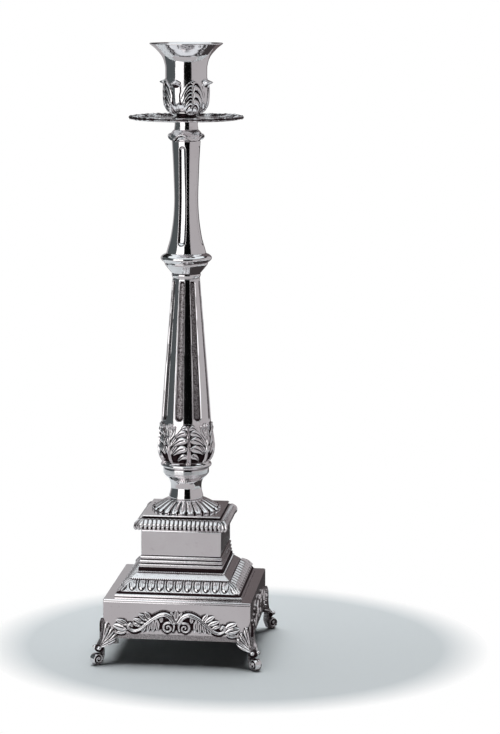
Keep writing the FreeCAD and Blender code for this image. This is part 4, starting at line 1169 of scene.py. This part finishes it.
def frieze_relief(across, up):
    """The height of the casting over a face of the block, and its matted ground.  It is symmetrical about the
    middle: a bud, two volutes, and arms that curl down and out to leaves with tufts on both sides."""
    side = np.abs(across)
    high = np.zeros_like(side)
    nearest = np.full(side.shape, 9.0)

    def add(away, top, scale):
        nonlocal high, nearest
        high = np.maximum(high, top * (dome(away) - 0.30 * hump(away, 0.16)))
        nearest = np.minimum(nearest, (away - 1.0) * scale)

    arm = [(1.6, 11.4), (4.0, 14.7), (8.0, 16.1), (13.0, 14.2), (18.6, 10.1), (22.4, 6.8), (26.0, 5.4)]
    arm += [(29.2, 6.6), (30.0, 8.6), (28.6, 9.6), (27.6, 8.4)]
    add(stroke_field(side, up, arm, (1.75, 1.0)), 1.35, 1.4)
    spiral = []
    for step in range(22):
        angle = math.pi * 0.62 - step * 0.42
        size = 3.5 * (1.0 - step / 24)
        spiral.append((5.2 + size * math.cos(angle), 7.9 + size * math.sin(angle)))
    add(stroke_field(side, up, spiral, (0.95, 0.6)), 1.15, 0.9)
    add(stroke_field(side, up, [(2.2, 11.6), (1.4, 8.6), (2.0, 6.0)], (0.8, 0.6)), 0.9, 0.8)
    return high, nearest, side


def frieze(node, quarter):
    """One applied casting on its matted ground, as a thin closed slab that is sunk into the block's face."""
    half = reach_of("base_block")
    low = foot_of("base_block")
    across = np.linspace(-40.5, 40.5, 406)[None, :] * np.ones((118, 1))
    up = np.linspace(0.25, 19.6, 118)[:, None] * np.ones((1, 406))
    high, nearest, side = frieze_relief(across, up)
    leaves = [
        ((30.2, 6.2), (39.6, 8.6), 2.6, 1.3),
        ((30.0, 8.6), (37.6, 12.2), 1.9, 1.0),
        ((31.0, 4.8), (37.6, 3.8), 1.7, 0.9),
        ((16.2, 12.8), (19.6, 17.4), 1.6, 1.1),
        ((17.6, 12.0), (23.8, 16.2), 1.7, 1.1),
        ((19.6, 10.4), (26.8, 13.0), 1.6, 1.0),
        ((22.0, 8.4), (27.6, 10.2), 1.3, 0.9),
        ((12.6, 13.6), (11.4, 5.4), 1.7, 1.1),
        ((14.2, 12.8), (14.6, 4.8), 1.7, 1.1),
        ((16.2, 11.6), (18.0, 4.8), 1.6, 1.0),
        ((19.0, 9.6), (21.4, 4.4), 1.4, 0.9),
        ((9.4, 15.0), (9.4, 11.0), 1.3, 0.8),
        ((0.0, 12.4), (0.0, 19.3), 1.9, 1.4),
        ((0.6, 13.4), (3.6, 17.9), 1.2, 1.0),
    ]
    for root, tip, half_width, top in leaves:
        lobe = lobe_height(side, up, root, tip, half_width, top)
        high = np.maximum(high, lobe)
        grown = lobe_height(side, up, root, tip, half_width + 1.3, 1.0)
        nearest = np.where(grown > 0.0, np.minimum(nearest, 0.4), nearest)
    ground = (nearest < 1.5) | (up < 3.6)
    height = np.where(high > 0.03, 0.15 + high, np.where(ground, 0.06, -0.5))
    strip = 0.72 + 0.24 * step_up(3.4, 4.2, up)
    matt = np.where((high <= 0.03) & ground, strip, 0.0)
    front = np.stack([across, -(half + height), low + up], axis=2)
    back = np.stack([across, -(half - 1.2) + 0 * height, low + up], axis=2)
    points = np.concatenate([front, back[::-1]], axis=0)
    ends = [np.repeat(points[:, column].mean(axis=0)[None, None], len(points), axis=0) for column in (0, -1)]
    ends = [end + np.array([offset, 0.8, 0.0]) for end, offset in zip(ends, (-0.1, 0.1))]
    points = np.concatenate([ends[0], points, ends[1]], axis=1)
    flat = np.concatenate([matt, np.zeros_like(matt)], axis=0)
    flat = np.pad(flat, ((0, 0), (1, 1)))
    points = quarter_turned(points[..., 0], points[..., 1], points[..., 2], quarter)
    piece = grid_mesh(node + "_silver", points, wraps=(True, False), matt=flat, merge=True)
    finish_piece(piece, CHASED, "stick", "cast_silver", node)


# ------------------------------------------------------------------------------- hidden hardware


def hardware():
    """The CAD nodes that are shown as they are: stud, rod, nut, washer, screws, bottom plate and weight."""
    looks = {
        "cup_stud": BRASS,
        "tie_rod": STEEL,
        "rod_nut": STEEL,
        "rod_washer": STEEL,
        "foot_screws": STEEL,
        "base_plate": SHEET_STEEL,
        "ballast": IRON,
    }
    for node, material in looks.items():
        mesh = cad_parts[node].data
        mesh.materials.clear()
        mesh.materials.append(material)


# ------------------------------------------------------------------------------- studio and camera


def emitter(name, colour, strength=1.0):
    """A glowing material for a screen, a backdrop or a soft light."""
    nodes = Nodes(name)
    nodes.surface(nodes.make("ShaderNodeEmission", in_Color=colour, in_Strength=strength).outputs[0])
    return nodes.material


def staged(name, verts, faces, material, seen_by):
    """A piece of the studio, seen only by the named kinds of ray, that never casts a shadow."""
    mesh = bpy.data.meshes.new(name)
    mesh.from_pydata(verts, [], faces)
    mesh.materials.append(material)
    obj = placed(name, mesh)
    obj.visible_camera = "camera" in seen_by
    obj.visible_diffuse = "diffuse" in seen_by
    obj.visible_glossy = "glossy" in seen_by
    obj.visible_transmission = False
    obj.visible_shadow = False
    return obj


def sheet(name, corners, material, *seen_by):
    """A flat piece of the studio with the given corners."""
    return staged(name, corners, [tuple(range(len(corners)))], material, seen_by)


def screen(name, start, end, radius, high, colour, strength=1.0):
    """A curved upright screen round the object that only its reflections show, between two directions in
    degrees from the camera's own, positive to its right."""
    count = max(2, int(abs(end - start) / 4) + 1)
    verts, faces = [], []
    for i, turn in enumerate(np.linspace(start, end, count)):
        angle = CAMERA_TURN + math.radians(float(turn))
        out = (radius * math.sin(angle), -radius * math.cos(angle))
        verts += [out + (0.0,), out + (high,)]
        if i:
            faces.append((2 * i - 2, 2 * i, 2 * i + 1, 2 * i - 1))
    staged(name, verts, faces, emitter(name, colour, strength), ("glossy",))


def ring_of(radius, level, count=48):
    """Points evenly round a level circle."""
    turns = [2 * math.pi * i / count for i in range(count)]
    return [(radius * math.cos(turn), radius * math.sin(turn), level) for turn in turns]


def floor():
    """A wide plain pale floor, and a white surround that hides it from the camera outside a soft oval."""
    nodes = Nodes("pale_floor")
    nodes.set(Base_Color=(0.56, 0.60, 0.62, 1.0), Roughness=0.9, Specular_IOR_Level=0.1)
    obj = sheet("floor", ring_of(5.0, 0.0), nodes.material, "camera", "diffuse", "glossy")
    obj.visible_shadow = True

    nodes = Nodes("white_surround")
    parts = nodes.make("ShaderNodeSeparateXYZ")
    nodes.feed(parts.inputs[0], nodes.place())
    centre, squash, inner, outer = (0.03, 0.01), 0.93, 0.122, 0.150
    across = nodes.maths("MULTIPLY", nodes.maths("SUBTRACT", parts.outputs["X"], centre[0]), squash)
    along = nodes.maths("SUBTRACT", parts.outputs["Y"], centre[1])
    square = nodes.maths("MULTIPLY_ADD", across, across, nodes.maths("MULTIPLY", along, along))
    mix = nodes.make("ShaderNodeMixShader")
    nodes.feed(mix.inputs[0], nodes.spread(nodes.maths("SQRT", square), inner, outer))
    nodes.feed(mix.inputs[1], nodes.make("ShaderNodeBsdfTransparent").outputs[0])
    nodes.feed(mix.inputs[2], nodes.make("ShaderNodeEmission", in_Color=WHITE, in_Strength=1.0).outputs[0])
    nodes.surface(mix.outputs[0])
    sheet("white_surround", ring_of(5.4, 0.0002), nodes.material, "camera")


def white_dome():
    """A white dome behind everything, for the camera only."""
    rows = []
    for lift in np.linspace(-0.2, 0.499 * math.pi, 9):
        rows.append(ring_of(6.0 * math.cos(float(lift)), 6.0 * math.sin(float(lift))))
    verts = [vert for row in rows for vert in row]
    count = len(rows[0])
    faces = []
    for row in range(len(rows) - 1):
        low, high = row * count, (row + 1) * count
        for i in range(count):
            after = (i + 1) % count
            faces.append((low + i, high + i, high + after, low + after))
    faces.append(tuple(range(len(verts) - count, len(verts))))
    staged("white_dome", verts, faces, emitter("white_dome", WHITE), ("camera",))


def studio():
    """One soft lamp over the floor, a nearly black world, and what the silver reflects: screens behind it at
    both sides, a dark one at the left, a white one, a black one before the camera and a grey one round the
    right, a pale card and a dark card on the floor, and a bright ceiling."""
    lamp = [(x - 0.1, y + 0.25, z) for x, y, z in ring_of(0.6, 1.25)]
    sheet("soft_light", lamp, emitter("soft_light", WHITE, 6.2), "diffuse")

    world = bpy.data.worlds.new("studio")
    world.use_nodes = True
    world.node_tree.nodes["Background"].inputs["Color"].default_value = (0.01, 0.01, 0.01, 1.0)
    bpy.context.scene.world = world
    screen("screen_back_left", -182.0, -138.0, 0.62, 0.42, (0.42, 0.41, 0.42, 1.0))
    screen("screen_back_right", 150.0, 178.0, 0.62, 1.15, (0.14, 0.12, 0.123, 1.0))
    screen("screen_left", -138.0, -61.0, 0.60, 0.62, (0.082, 0.094, 0.098, 1.0))
    screen("screen_white", -61.0, -14.0, 0.58, 0.62, WHITE, 1.5)
    screen("screen_black", -14.0, 29.0, 0.60, 0.62, (0.002, 0.002, 0.002, 1.0))
    screen("screen_right", 29.0, 150.0, 0.62, 0.62, (0.455, 0.438, 0.448, 1.0))
    pale = [(-0.40, -0.42, 0.0003), (0.40, -0.42, 0.0003), (0.40, -0.075, 0.0003), (-0.40, -0.075, 0.0003)]
    sheet("warm_card", pale, emitter("warm_card", (0.475, 0.462, 0.474, 1.0)), "glossy")
    dark = [(0.047, -0.05, 0.0004), (0.30, -0.05, 0.0004), (0.34, 0.60, 0.0004), (0.047, 0.60, 0.0004)]
    sheet("dark_card", dark, emitter("dark_card", (0.05, 0.045, 0.046, 1.0)), "glossy")
    sheet("ceiling", ring_of(1.1, 1.25), emitter("ceiling", (0.90, 0.97, 1.0, 1.0)), "glossy")
    bpy.context.scene.view_settings.view_transform = "Standard"


def camera():
    """A long lens from a little right of the front face, looking slightly down."""
    distance, high, pitch = 1.4577, 0.4115, 0.1578
    data = bpy.data.cameras.new("camera")
    data.sensor_fit = "VERTICAL"
    data.sensor_height = 36.0
    data.lens = 116.1
    data.shift_x = 0.0869
    obj = placed("camera", data)
    obj.location = (distance * math.sin(CAMERA_TURN), -distance * math.cos(CAMERA_TURN), high)
    obj.rotation_euler = (math.pi / 2 - pitch, 0.0, CAMERA_TURN)
    bpy.context.scene.camera = obj


BASE = (block, plinth, die, skirt, cap, seat_plate)
COLUMN = (dish, neck, ring_band, bulb, lower_shaft, bell, upper_shaft, collar)
for build in BASE + COLUMN + (drip_pan, pedestal, calyx, cup):
    build()
for corner, label in enumerate(("foot_front_right", "foot_back_right", "foot_back_left", "foot_front_left")):
    foot(label, corner)
for quarter, label in enumerate(("frieze_front", "frieze_right", "frieze_back", "frieze_left")):
    frieze(label, quarter)
hardware()
floor()
white_dome()
studio()
camera()

bpy.context.view_layer.update()
